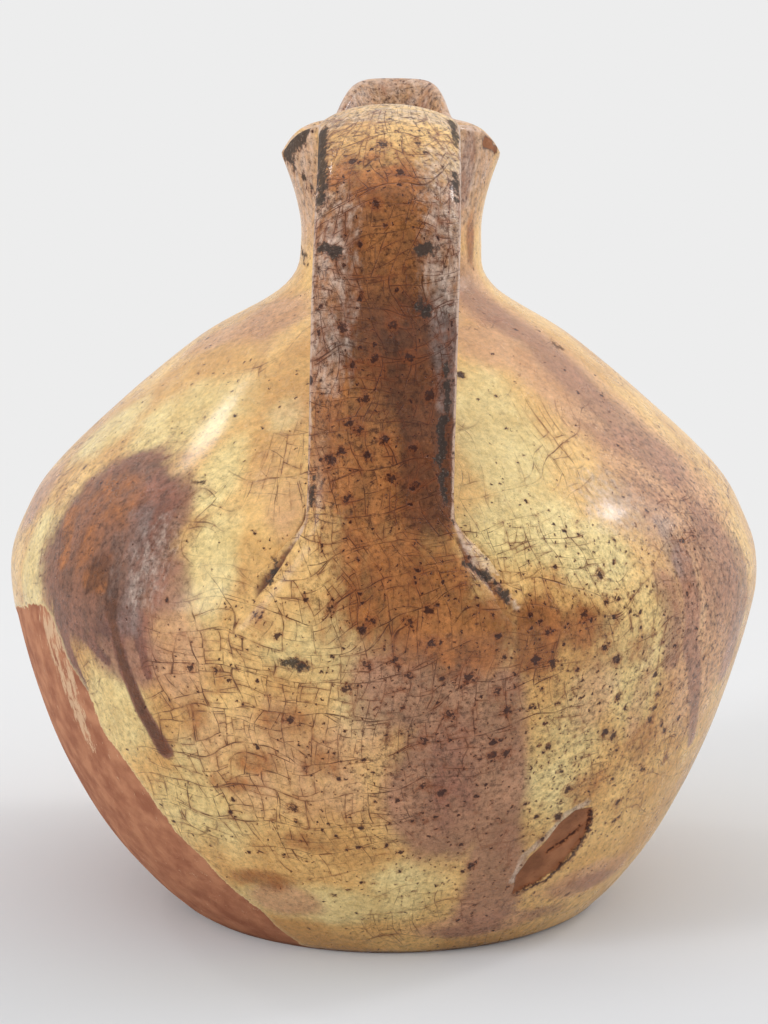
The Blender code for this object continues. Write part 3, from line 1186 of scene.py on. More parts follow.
    def mottled(self, nodes: Nodes, below: Socket) -> Socket:
        """Varies the colour over a few millimetres, as pooled glaze does, darkens it with dirt, and with
        painted shade inside the spout, and wears its arrises.

        Args:
            nodes: the material's nodes.
            below: the colour so far.

        Returns:
            The varied colour.
        """
        fine = nodes.add("TexNoise", grain(nodes.spots, *self.mottle_noise))
        lift = nodes.add("MapRange", (fine, 0.3, 0.7, self.lift - self.mottle, self.lift + self.mottle))
        drawn = nodes.add("Attribute", out="Fac", attribute_name=Layer.GRIME.value)
        some = nodes.add("Math", (drawn, self.least_grime), operation="ADD")
        soil = nodes.add("TexNoise", grain(nodes.spots, *self.grime_noise))
        off_mean = nodes.add("Math", (0.47, soil), operation="SUBTRACT")
        swing = nodes.add("Math", (off_mean, some), operation="MULTIPLY")
        shade = nodes.add("Math", (swing, self.grime_swing, lift), operation="MULTIPLY_ADD")
        varied = nodes.add("VectorMath", {0: below, "Scale": shade}, operation="SCALE")
        bits = nodes.add("MapRange", (soil, 0.52, 0.66, 0.0, 0.80))
        grime_and_shade_share = nodes.add("Math", (bits, some), operation="MULTIPLY", use_clamp=True)
        with_grime_and_shade = nodes.add("Mix", {0: grime_and_shade_share, 6: varied, 7: linear(self.grime)}, 2, data_type="RGBA")
        eaten = nodes.ragged(Layer.ARRIS, grain(nodes.spots, *self.arris_noise), self.arris_reach)
        worn = nodes.add("MapRange", (eaten, 0.35, 0.75, 0.0, 0.8), interpolation_type="SMOOTHSTEP")
        return nodes.add("Mix", {0: worn, 6: with_grime_and_shade, 7: linear(self.arris)}, 2, data_type="RGBA")

    def unrolled(self, nodes: Nodes) -> Socket:
        """The place on the pot as millimetres up and round, swirled so that no crack runs straight.

        Args:
            nodes: the material's nodes.

        Returns:
            The place, with millimetres up as its X and round as its Y.
        """
        swirled = nodes.wandering(grain(nodes.spots, *self.swirl_noise), self.swirl_reach_mm)
        axes = nodes.add("SeparateXYZ", (swirled,), None)
        back = nodes.add("Math", (axes["Y"], -1.0), operation="MULTIPLY")
        bearing = nodes.add("Math", (axes["X"], back), operation="ARCTAN2")
        round_mm = nodes.add("Math", (bearing, self.girth_mm), operation="MULTIPLY")
        up_mm = nodes.add("Math", (axes["Z"], 1 / MM), operation="MULTIPLY")
        return nodes.add("CombineXYZ", (up_mm, round_mm))

    def crazing(self, nodes: Nodes, below: Socket) -> tuple[Socket, Socket]:
        """Draws the crazing, filled with brown dirt. Each set of cracks ends on those of the set before it.

        Args:
            nodes: the material's nodes.
            below: the colour so far.

        Returns:
            The colour with the crazing, and how deep its cracks are.
        """
        drawn = nodes.add("Attribute", out="Fac", attribute_name=Layer.CRAZE.value)
        patchy = nodes.add("TexNoise", grain(nodes.spots, *self.dirt_noise))
        reach = nodes.add("Math", (drawn, self.painted_dirt, patchy), operation="MULTIPLY_ADD")
        stutter = nodes.add("TexNoise", grain(nodes.spots, *self.stutter_noise))
        uneven = nodes.add("MapRange", (stutter, 0.36, 0.58, 0.2))
        blots = nodes.add("TexNoise", grain(nodes.spots, *self.blot_noise))
        blotted = nodes.add("MapRange", (blots, 0.44, 0.60, 0.0, self.stain_most))
        flat = self.unrolled(nodes)
        colour, cracks, key = below, None, None
        for kind in self.cracks:
            line, beside, key = self.crack_line(nodes, flat, key, kind)
            shown = nodes.add("MapRange", (reach, kind.low, kind.low + self.dirt_fade, 0.0, kind.most))
            soaked = nodes.add("Math", (beside, shown), operation="MULTIPLY")
            share = nodes.add("Math", (soaked, blotted), operation="MULTIPLY")
            colour = nodes.add("Mix", {0: share, 6: colour, 7: linear(self.halo)}, 2, data_type="RGBA")
            seen = nodes.add("Math", (line, shown), operation="MULTIPLY")
            deep = nodes.add("Math", (seen, uneven), operation="MULTIPLY")
            cracks = nodes.add("Math", (cracks, deep), operation="MAXIMUM") if cracks else deep
        colour = nodes.add("Mix", {0: cracks, 6: colour, 7: linear(self.crack)}, 2, data_type="RGBA")
        return colour, cracks

    def crack_line(
        self, nodes: Nodes, flat: Socket, key: Socket | None, kind: CrackSet
    ) -> tuple[Socket, Socket, Socket]:
        """Draws one set of cracks.

        Args:
            nodes: the material's nodes.
            flat: the place on the pot as millimetres up and round.
            key: a number that differs from cell to cell of the set before, or None for the first set.
            kind: the set's sizes.

        Returns:
            1 on its cracks, 1 falling off beside them, and a number that differs from cell to cell of this
            set.
        """
        angle, seed = math.radians(kind.lean - kind.turn / 2), None
        if key:
            angle = nodes.add("Math", (key, math.radians(kind.turn), angle), operation="MULTIPLY_ADD")
            seed = nodes.add("Math", (key, 50.0), operation="MULTIPLY")
        spots, _, *sizes = grain(nodes.spots, kind.sway_mm, 3.0)
        sway = nodes.add("TexNoise", (spots, seed, *sizes), noise_dimensions="4D")
        turned = nodes.add("VectorRotate", {"Vector": flat, "Angle": angle}, rotation_type="Z_AXIS")
        way = nodes.add("SeparateXYZ", (turned,))
        steps = nodes.add("Math", (way, 1 / kind.apart_mm), operation="MULTIPLY")
        if key:
            steps = nodes.add("Math", (key, 17.0, steps), operation="MULTIPLY_ADD")
        bent = nodes.add("Math", (sway, kind.sway, steps), operation="MULTIPLY_ADD")
        nearest = nodes.add("Math", (bent, 0.5), operation="PINGPONG")
        width = kind.line_mm / kind.apart_mm
        line = nodes.add("MapRange", (nearest, 0.25 * width, 0.75 * width, 1.0, 0.0))
        stain = (nearest, 0.0, self.stain_mm / kind.apart_mm, 1.0, 0.0)
        found = [line, nodes.add("MapRange", stain, interpolation_type="SMOOTHSTEP")]
        if key:
            split = nodes.add("Math", (key, kind.whole), operation="GREATER_THAN")
            found = [nodes.add("Math", (one, split), operation="MULTIPLY") for one in found]
        cell = nodes.add("Math", (bent,), operation="FLOOR")
        pair = nodes.add("CombineXYZ", (cell, key))
        return *found, nodes.add("TexWhiteNoise", {"Vector": pair}, noise_dimensions="2D")

    def specks(self, nodes: Nodes, below: Socket) -> tuple[Socket, Socket]:
        """Scatters the iron specks, each a dark pit with a rusty halo.

        Args:
            nodes: the material's nodes.
            below: the colour so far.

        Returns:
            The colour with the specks, and how deep their pits are.
        """
        drawn = nodes.add("Attribute", out="Fac", attribute_name=Layer.SPECKS.value)
        bent = nodes.wandering(grain(nodes.spots, *self.wobble_noise), self.wobble_reach_mm)
        colour, pits = below, None
        for kind in self.speck_sets:
            places = {"Vector": bent, "Scale": 1 / (kind.apart_mm * MM), "Randomness": 1.0}
            cells = nodes.add("TexVoronoi", places, None, feature="F1")
            chance = nodes.add("SeparateColor", (cells["Color"],), None)
            limit = nodes.add("Math", (drawn, 1.0, kind.rare), operation="MULTIPLY_ADD")
            picked = nodes.add("Math", (chance[0], limit), operation="LESS_THAN")
            largest = kind.largest_mm / kind.apart_mm
            size = nodes.add("MapRange", (chance[1], 0.0, 1.0, self.least_speck * largest, largest))
            ratio = nodes.add("Math", (cells["Distance"], size), operation="DIVIDE")
            for code, inner, outer, most in ((self.halo, 0.7, 2.0, 0.40), (self.speck, 0.6, 1.05, 0.95)):
                dot = nodes.add("MapRange", (ratio, inner, outer, most, 0.0), interpolation_type="SMOOTHSTEP")
                kept = nodes.add("Math", (dot, picked), operation="MULTIPLY")
                colour = nodes.add("Mix", {0: kept, 6: colour, 7: linear(code)}, 2, data_type="RGBA")
            pits = nodes.add("Math", (pits, kept), operation="MAXIMUM") if pits else kept
        return colour, pits

    def breaks(self, nodes: Nodes, below: Socket) -> tuple[Socket, Socket]:
        """Lays bare clay, chips and black wear over the glaze, each with a sharp broken edge.

        Args:
            nodes: the material's nodes.
            below: the colour so far.

        Returns:
            The colour with them, and where the gloss is gone.
        """
        clays = nodes.add("TexNoise", grain(nodes.spots, *self.clay_noise))
        shade = nodes.add("MapRange", (clays, 0.35, 0.65))
        clay, scar = (
            nodes.add("Mix", {0: shade, 6: linear(dark), 7: linear(light)}, 2, data_type="RGBA")
            for dark, light in ((self.clay_dark, self.clay), (self.scar_dark, self.scar))
        )
        drawn = nodes.add("Attribute", out="Fac", attribute_name=Layer.SLIP.value)
        stretched = nodes.add("Mapping", {"Vector": nodes.spots, "Scale": (1, 1, self.streak_stretch)})
        streaks = nodes.add("TexNoise", grain(stretched, *self.streak_noise))
        worn = nodes.add("Math", (drawn, self.slip_left, streaks), operation="MULTIPLY_ADD")
        slip = nodes.add("MapRange", (worn, 0.61, 0.69, 0.0, 0.85), interpolation_type="SMOOTHSTEP")
        slipped = nodes.add("Mix", {0: slip, 6: clay, 7: linear(self.slip)}, 2, data_type="RGBA")
        flecks = nodes.add("TexNoise", grain(nodes.spots, *self.fleck_noise))
        fleck = nodes.add("MapRange", (flecks, 0.56, 0.66, 0.0, 0.6))
        soots = {6: linear(self.soot), 7: linear(self.ash)}
        blackened = nodes.add("Mix", {0: fleck, **soots}, 2, data_type="RGBA")
        colour, masks = below, []
        for kind, tint in zip(self.broken, (slipped, scar, linear(self.speck), blackened)):
            eaten = nodes.ragged(kind.layer, grain(nodes.spots, *kind.edge), kind.ragged_mm)
            for tinted, low, high, most in (
                (linear(kind.rim), -kind.rim_mm, 0.0, kind.rim_most),
                (tint, -kind.hard_mm, kind.hard_mm, kind.most),
            ):
                mask = nodes.add("MapRange", (eaten, low, high, 0.0, most), interpolation_type="SMOOTHSTEP")
                colour = nodes.add("Mix", {0: mask, 6: colour, 7: tinted}, 2, data_type="RGBA")
            masks.append(mask)
        bare = nodes.add("Math", (masks[0], masks[1]), operation="MAXIMUM")
        return colour, nodes.add("Math", (bare, masks[3]), operation="MAXIMUM")

    def surface(self, nodes: Nodes, colour: Socket, rough: Socket, cracks: Socket, pits: Socket) -> None:
        """Gives the colour its gloss: wet-looking on the glaze, dull on bare clay, broken at cracks and pits.

        Args:
            nodes: the material's nodes.
            colour: the finished colour.
            rough: where the gloss is gone.
            cracks: how deep the cracks are.
            pits: how deep the pits are.
        """
        cloud = nodes.add("TexNoise", grain(nodes.spots, *self.gloss_noise))
        glaze_rough = nodes.add("MapRange", (cloud, 0.3, 0.7, self.roughness - 0.08, self.roughness + 0.14))
        rough_mix = {0: rough, 2: glaze_rough, 3: self.clay_roughness}
        glazed = nodes.add("Math", (1.0, rough), operation="SUBTRACT")
        skin = nodes.add("TexNoise", grain(nodes.spots, *self.skin_noise))
        swell = nodes.add("Math", (skin, self.swell), operation="MULTIPLY")
        dull = nodes.add("Math", (cracks, -self.crack_depth, swell), operation="MULTIPLY_ADD")
        sunk = nodes.add("Math", (pits, -self.pit_depth, dull), operation="MULTIPLY_ADD")
        relief = {"Height": sunk, "Strength": self.relief_strength, "Distance": self.relief_m}
        gloss = {
            "Base Color": colour,
            "Roughness": nodes.add("Mix", rough_mix, data_type="FLOAT"),
            "IOR": self.ior,
            "Coat Weight": nodes.add("Math", (glazed, self.coat), operation="MULTIPLY"),
            "Coat Roughness": self.coat_roughness,
            "Normal": nodes.add("Bump", relief),
        }
        nodes.add("OutputMaterial", (nodes.add("BsdfPrincipled", gloss),), None)


RESERVE_EDGE = (
    (44, 606), (52, 618), (60, 640), (70, 664), (87, 690), (103, 732), (129, 766), (147, 792), (175, 832),
    (202, 858), (221, 879), (244, 899), (262, 912), (280, 930),
)
RESERVE_HIDDEN = (
    (-20, -6), (-150, -6), (-146, 20), (-136, 40), (-128, 62), (-118, 78), (-104, 84), (-92, 86),
)
RESERVE_TOP = ((24, 607), (33, 604))
SCAR_EDGE = (
    (513, 893), (517, 876), (530, 858), (546, 843), (560, 824), (576, 811), (592, 808), (590, 826),
    (578, 845), (560, 866), (535, 884),
)

# Patches are (across, down, wide, tall, amount, tilt) and runs are (wide, end_wide, amount, places). A crisp
# layer's run has its relief for the amount.
POT_SPOTS = (
    (303, 664), (346, 689), (430, 642), (497, 691), (508, 710), (409, 676), (363, 555), (409, 621),
    (371, 619), (428, 609), (416, 549), (437, 550), (280, 634), (424, 741), (506, 754), (584, 614),
    (617, 659), (619, 697), (650, 720), (605, 647), (548, 631), (536, 660), (614, 736), (643, 769),
    (568, 790), (424, 786), (367, 665), (394, 660), (469, 678), (333, 607), (260, 615), (337, 552),
    (190, 667), (217, 670), (293, 808), (449, 714), (553, 663), (600, 575), (618, 802), (558, 817),
    (658, 695), (290, 720),
)

POT_PATCHES = {
    Layer.STRAW: (
        (185, 420, 44, 30, 0.95, -38), (218, 475, 15, 30, 0.95), (208, 565, 18, 32, 1.0),
        (110, 430, 30, 26, 0.8, -40), (35, 560, 22, 34, 1.0), (118, 710, 30, 34, 0.75),
        (195, 810, 36, 30, 0.75), (320, 905, 70, 18, 0.9), (405, 890, 26, 24, 0.8),
        (322, 650, 24, 24, 0.6), (500, 440, 28, 56, 0.95), (525, 530, 36, 24, 0.95),
        (595, 555, 28, 22, 0.9), (560, 760, 26, 60, 0.7), (640, 660, 36, 46, 0.6), (700, 600, 7, 24, 0.9),
        (284, 415, 10, 16, 0.6), (288, 655, 16, 14, 0.7), (362, 712, 16, 18, 0.7), (190, 765, 14, 20, 0.8),
    ),
    Layer.TAN: (
        (268, 320, 26, 26, 1.0, -30), (278, 450, 16, 50, 0.35), (286, 505, 14, 22, 0.55),
        (225, 335, 40, 14, 0.8, -38), (40, 492, 26, 24, 0.9), (172, 655, 24, 34, 0.8),
        (305, 765, 56, 44, 0.55), (215, 750, 30, 30, 0.45), (285, 900, 22, 14, 1.1),
        (478, 340, 18, 26, 0.8), (715, 600, 44, 80, 1.0), (590, 700, 18, 24, 0.55), (640, 700, 8, 30, 0.6),
        (590, 878, 40, 14, 1.1), (480, 925, 40, 12, 1.05), (300, 200, 10, 30, 0.9), (474, 200, 8, 30, 0.7),
        (150, 650, 26, 30, 0.8), (384, 88, 60, 30, 0.75), (298, 165, 24, 44, 0.9), (474, 165, 22, 44, 0.8),
    ),
    Layer.MAUVE: (
        (272, 338, 18, 26, 0.35), (38, 500, 18, 22, 0.55), (592, 880, 24, 9, 0.7), (470, 930, 26, 8, 0.75),
        (545, 912, 20, 8, 0.65), (620, 438, 34, 16, 0.6, 36), (640, 500, 30, 30, 0.55),
        (715, 560, 26, 44, 0.75), (430, 690, 46, 34, 0.95), (450, 785, 34, 56, 1.3),
        (166, 515, 16, 30, 0.9), (124, 650, 26, 24, 1.0), (467, 170, 6, 18, 1.0), (150, 500, 14, 22, 0.8),
        (168, 585, 18, 20, 0.8),
    ),
    Layer.PALE: (
        # Painted highlight and sheen: a haze round the right shoulder's highlight, a sheen in the brown
        # cloud, and sheen on the spout and on the mouth's lobes.
        (606, 500, 18, 20, 0.55), (152, 562, 12, 26, 0.4), (384, 84, 60, 24, 0.42),
        (298, 160, 22, 36, 0.6), (474, 150, 20, 30, 0.6),
    ),
    Layer.UMBER: (
        (447, 780, 22, 50, 0.5), (100, 545, 60, 64, 0.98, 8), (132, 480, 26, 24, 1.0),
        # The (384, 95) patch darkens the spout's inside: painted shade.
        (98, 610, 38, 16, 1.1), (384, 95, 60, 20, 0.48),
    ),
    Layer.RUST: (
        (410, 595, 46, 34, 1.0), (355, 560, 16, 26, 0.7), (470, 630, 34, 24, 0.95),
        (536, 638, 16, 22, 1.15), (585, 626, 26, 14, 0.75), (610, 655, 24, 12, 0.46),
        (640, 648, 16, 10, 0.5), (470, 245, 5, 16, 0.8), (284, 720, 16, 10, 0.62), (255, 762, 15, 9, 0.6),
        (232, 784, 16, 7, 0.62), (215, 672, 9, 12, 0.4), (195, 712, 10, 12, 0.55), (262, 615, 12, 9, 0.45),
        (340, 622, 12, 16, 0.6), (322, 762, 14, 10, 0.55), (305, 842, 24, 8, 0.55),
        (262, 880, 22, 9, 0.75), (640, 745, 14, 18, 0.5), (585, 790, 16, 12, 0.45),
        (110, 500, 30, 20, 0.62, 8), (86, 545, 12, 20, 0.6), (96, 578, 12, 8, 1.0),
    ),
    Layer.TREACLE: (
        (100, 572, 12, 12, 0.75),
    ),
    Layer.SMOKE: (
        # Painted grey sheen on the right shoulder.
        (672, 550, 8, 18, 0.6),
    ),
    Layer.GRIME: (
        (384, 780, 260, 120, 0.3), (410, 590, 60, 44, 0.6), (600, 700, 90, 100, 0.75),
        (440, 740, 60, 80, 0.85), (100, 540, 70, 80, 0.75), (720, 570, 60, 110, 1.15),
        (30, 510, 40, 50, 0.7), (480, 920, 80, 26, 0.6), (200, 340, 80, 30, 0.35, -36),
        # The (384, 88) patch darkens the spout's inside: painted shade, not dirt.
        (384, 88, 60, 30, 1.3), (298, 160, 24, 40, 0.7), (474, 160, 24, 40, 0.7),
    ),
    Layer.CRAZE: (
        (290, 760, 90, 70, 1.1), (300, 650, 80, 50, 0.9), (420, 720, 60, 60, 0.8), (400, 600, 70, 44, 0.8),
        (560, 600, 60, 50, 0.6), (250, 500, 40, 60, 0.45), (520, 480, 50, 60, 0.2),
    ),
    Layer.SPECKS: (
        (600, 690, 90, 90, 0.6), (440, 690, 80, 90, 0.48), (330, 640, 66, 60, 0.26),
        (520, 860, 90, 50, 0.45), (300, 800, 80, 60, 0.2), (190, 650, 40, 30, 0.16),
        (35, 530, 30, 60, 0.2), (640, 560, 34, 40, 0.18),
    ),
}

POT_RUNS = {
    Layer.SMOKE: (
        # Painted grey sheen: on the right shoulder, and in the brown cloud at the left.
        (7, 5, 0.6, (672, 530), (676, 565)),
        (6, 7, 0.35, (120, 540), (114, 590)),
        (8, 10, 0.7, (142, 515), (138, 570), (130, 622)),
    ),
    Layer.TAN: (
        (24, 44, 0.95, (466, 288), (525, 345), (600, 412), (690, 500)),
    ),
    Layer.MAUVE: (
        (14, 26, 0.72, (464, 285), (525, 335), (600, 405), (660, 460)),
        (10, 5, 0.95, (683, 560), (690, 640), (691, 740)),
        (15, 20, 0.92, (500, 690), (500, 800), (488, 910)), (20, 14, 0.75, (735, 560), (728, 660)),
        (12, 8, 0.7, (665, 590), (672, 660)),
    ),
    Layer.UMBER: (
        (7, 7, 1.2, (68, 530), (60, 560), (58, 600)), (9, 3, 1.1, (60, 600), (64, 640), (86, 688)),
        (6, 3, 0.9, (80, 628), (108, 662)),
        (4.0, 6.0, 1.1, (112, 606), (124, 665), (142, 711), (165, 750)),
        (4, 2.4, 1.2, (133, 600), (142, 651), (148, 676)),
    ),
    Layer.TREACLE: (
        (5, 5.5, 1.05, (118, 545), (114, 575), (112, 612)),
        (2.2, 3.4, 2.0, (111, 600), (124, 665), (142, 711), (164, 749)),
        (2.6, 1.6, 0.9, (96, 560), (88, 592)),
        # The next two thin dark runs line the creases where the handle's root meets the belly: painted shade.
        (1.6, 1.0, 1.2, (308, 512), (298, 540), (268, 582), (242, 612)),
        (1.6, 1.0, 0.9, (455, 535), (472, 565), (496, 592), (516, 613)),
    ),
    Layer.RUST: (
        (7, 6, 0.8, (72, 515), (64, 560)),
    ),
    Layer.PALE: (
        # Pale lines: along the handle root's right edge, painted highlight and wear; along the scar's lip,
        # wear.
        (2.0, 1.4, 1.0, (457, 532), (474, 560), (498, 586), (517, 608)),
        (2.4, 2.0, 1.1, (514, 880), (526, 854), (548, 836), (566, 814), (588, 803)),
    ),
    Layer.SPOT: (
        (0.9, 0.9, -0.2, (550, 852), (566, 842), (582, 828)),
        (0.9, 1.1, 0.0, (592, 812), (588, 832), (572, 856), (546, 880), (516, 894)),
    ),
    Layer.SLIP: (
        (16, 6, 1.0, (50, 612), (66, 680), (90, 745)),
    ),
    Layer.SOOT: (
        (2.4, 2.6, -0.35, (288, 662), (302, 667)), (3.2, 2.0, -0.5, (281, 560), (264, 585)),
        (2.8, 2.0, -0.5, (466, 560), (486, 578)), (2.0, 1.6, -0.3, (494, 584), (508, 599)),
        (1.6, 1.2, -0.2, (196, 477), (202, 486)), (1.6, 1.4, -0.2, (552, 343), (563, 350)),
        (1.6, 1.2, -0.2, (684, 445), (695, 455)), (7.0, 4.0, -0.6, (285, 150), (292, 140), (303, 132)),
        (1.0, 2.6, -0.5, (293, 170), (304, 180), (310, 187)),
        (1.4, 1.0, -0.2, (301, 250), (308, 262)),
    ),
    Layer.CHIP: (
        (2.4, 1.6, -0.4, (486, 142), (497, 151)),
    ),
}

HANDLE_SPOTS = (
    (343, 328), (353, 365), (425, 309), (392, 324), (374, 359), (409, 358), (342, 451), (332, 460),
    (347, 499), (338, 514), (324, 518), (412, 448), (392, 478), (350, 423), (359, 430), (376, 203),
    (388, 520), (383, 144), (417, 143), (353, 160), (400, 172), (366, 398), (430, 395), (384, 440),
)

HANDLE_PATCHES = {
    Layer.RUST: (
        (376, 165, 16, 12, 0.7), (402, 178, 14, 16, 0.8), (345, 190, 12, 30, 0.8),
    ),
    Layer.TREACLE: (
        (385, 250, 34, 36, 0.5), (394, 335, 40, 30, 0.78), (352, 345, 10, 20, 0.8),
        (352, 425, 10, 14, 0.35),
    ),
    Layer.GRIME: (
        (388, 200, 90, 160, 1.05), (388, 440, 90, 120, 1.15),
    ),
    Layer.SPECKS: (
        (370, 470, 60, 110, 0.4), (388, 180, 60, 60, 0.2),
    ),
    Layer.CRAZE: (
        (385, 150, 90, 90, 1.5), (385, 400, 90, 160, 1.3),
    ),
}

HANDLE_RUNS = {
    Layer.RUST: (
        (60, 38, 1.15, (388, 275), (394, 520)),
    ),
    Layer.TREACLE: (
        (26, 16, 1.15, (416, 340), (434, 430), (434, 520)),
    ),
    Layer.PALE: (
        # The first two runs are painted sheen on the strap's flanks; the third is a worn line along its top.
        (16, 12, 0.62, (325, 215), (328, 290), (324, 375)),
        (15, 12, 0.78, (449, 165), (450, 230), (448, 290)),
        (9, 9, 0.7, (335, 122), (388, 114), (445, 122)),
    ),
    Layer.SMOKE: (
        # Painted grey sheen along the strap's right flank.
        (9, 7, 0.7, (447, 290), (448, 400)),
    ),
    Layer.TAN: (
        (7, 6, 0.8, (326, 400), (318, 500)),
    ),
    Layer.SOOT: (
        (4.6, 2.4, -0.2, (319, 135), (320, 165), (321, 205)), (2.0, 1.2, -0.1, (453, 122), (456, 145)),
        (1.0, 1.6, 0.0, (455, 172), (455, 205)), (3.0, 2.2, 0.0, (418, 250), (434, 248)),
        (2.4, 2.8, 0.0, (321, 248), (340, 252)), (1.6, 1.6, 0.0, (448, 362), (447, 412)),
        (3.0, 2.0, -0.5, (444, 418), (441, 465), (446, 500)), (3.0, 2.2, 0.0, (421, 305), (430, 314)),
        (1.4, 2.0, 0.0, (313, 480), (308, 515)),
    ),
    Layer.GRIME: (
        (14, 10, 1.3, (328, 200), (332, 290), (326, 390)), (12, 10, 1.2, (446, 165), (446, 300)),
    ),
}

SPOT_WIDE = {Carrier.POT: (3.0, 2.2, 2.6, 2.0, 2.4, 1.8, 2.2), Carrier.HANDLE: (2.6, 2.0, 3.0, 2.2, 1.8)}
SPOT_TALL = {Carrier.POT: (2.0, 2.6, 2.0, 1.8, 2.4), Carrier.HANDLE: (2.0, 2.6, 2.2)}
SPOT_TILT = (20, 70, 130, 45)
SPOT_RELIEF = -0.12

REFINED = (Window(-74, 74, 6, 132, 2), Window(24, 40, 19, 50, 1), Window(-38, 38, 196, 240, 1))


def seen_path(*spots: tuple[float, float]) -> tuple[Seen, ...]:
    """The places that some pixels show."""
    return tuple(Seen(*spot) for spot in spots)


def listed(carrier: Carrier, patches: dict, runs: dict, spots: tuple) -> list[Mark]:
    """Makes the marks of a piece from its tables.

    Args:
        carrier: the piece.
        patches: its oval patches, by layer.
        runs: its runs, by layer.
        spots: the pixels that show its large specks.

    Returns:
        The marks.
    """
    marks = [Mark(layer, seen_path(row[:2]), *row[2:]) for layer, rows in patches.items() for row in rows]
    for layer, rows in runs.items():
        kind = "relief" if layer in CRISP_LAYERS else "amount"
        for wide, end_wide, strength, *path in rows:
            marks.append(Mark(layer, seen_path(*path), wide, end_wide=end_wide, **{kind: strength}))
    sizes = zip(spots, cycle(SPOT_WIDE[carrier]), cycle(SPOT_TALL[carrier]), cycle(SPOT_TILT))
    for spot, wide, tall, tilt in sizes:
        marks.append(Mark(Layer.SPOT, seen_path(spot), wide, tall, tilt=tilt, relief=SPOT_RELIEF))
    return marks


@dataclass
class Dresser:
    """Sets the marks on a piece: finds each one's place from the photo's camera, and lays it."""

    camera: PhotoCamera
    pot: ThrownPot
    targets: dict = field(default_factory=dict)

    def aim_at(self, carrier: Carrier, bm: bmesh.types.BMesh, skin: Skin) -> None:
        """Keeps a piece's faces, with their corners' places on its skin, to find what a pixel shows.

        Args:
            carrier: the piece.
            bm: its faces.
            skin: where its vertices lie on its surface.
        """
        bm.verts.index_update()
        values = list(zip(skin.east, skin.north))
        faces = [
            ([vert.co.copy() for vert in face.verts], [values[vert.index] for vert in face.verts])
            for face in bm.faces
        ]
        self.targets[carrier] = BVHTree.FromBMesh(bm), faces

    def place(self, carrier: Carrier, spot: Seen | Place) -> tuple[float, float] | None:
        """Where a spot lies on its carrier's surface, as (east, north).

        Args:
            carrier: the piece that the spot lies on.
            spot: a pixel of the photo, or a place on the pot.

        Returns:
            The place, or None where the camera's ray misses the piece.
        """
        if isinstance(spot, Place):
            return math.radians(spot.bearing), self.north_of(spot.height * MM)
        tree, faces = self.targets[carrier]
        hit, _, index, _ = tree.ray_cast(*self.camera.ray(spot))
        if hit is None:
            log.warning("mark at %s, %s misses the %s", spot.across, spot.down, carrier.value)
            return None
        corners, values = faces[index]
        weights = interpolate.poly_3d_calc(corners, hit)
        return tuple(sum(w * v[at] for w, v in zip(weights, values)) for at in (0, 1))

    def north_of(self, height: float) -> float:
        """The outline's length up to a height, going on below the foot for outlines that close there."""
        return float(self.pot.north(height)) if height > 0 else height / MM

    def paint(self, skin: Skin, marks: list[Mark], carrier: Carrier) -> Painting:
        """Paints marks on a skin.

        Args:
            skin: where the points to be painted lie.
            marks: what is laid.
            carrier: the piece on which the camera sees the marks.

        Returns:
            The painted layers.
        """
        painting = Painting(len(skin.north))
        for mark in marks:
            path = [self.place(carrier, spot) for spot in mark.path]
            if None not in path:
                painting.lay(mark, skin.inside(mark, path))
        return painting


def points_of(bm: bmesh.types.BMesh) -> np.ndarray:
    """The places of a bmesh's vertices, one row each."""
    return np.array([vert.co[:] for vert in bm.verts])


def normals_of(bm: bmesh.types.BMesh) -> np.ndarray:
    """The directions in which a bmesh's vertices face, one row each."""
    bm.normal_update()
    return np.array([vert.normal[:] for vert in bm.verts])


def move_to(bm: bmesh.types.BMesh, places: np.ndarray) -> None:
    """Moves a bmesh's vertices."""
    for vert, place in zip(bm.verts, places):
        vert.co = place


def as_object(name: str, bm: bmesh.types.BMesh) -> bpy.types.Object:
    """Makes a smooth-shaded object of a bmesh, which is freed, and links it.

    Args:
        name: the object's name.
        bm: its faces.

    Returns:
        The object.
    """
    mesh = bpy.data.meshes.new(name)
    bm.to_mesh(mesh)
    bm.free()
    mesh.shade_smooth()
    obj = bpy.data.objects.new(name, mesh)
    bpy.context.scene.collection.objects.link(obj)
    return obj


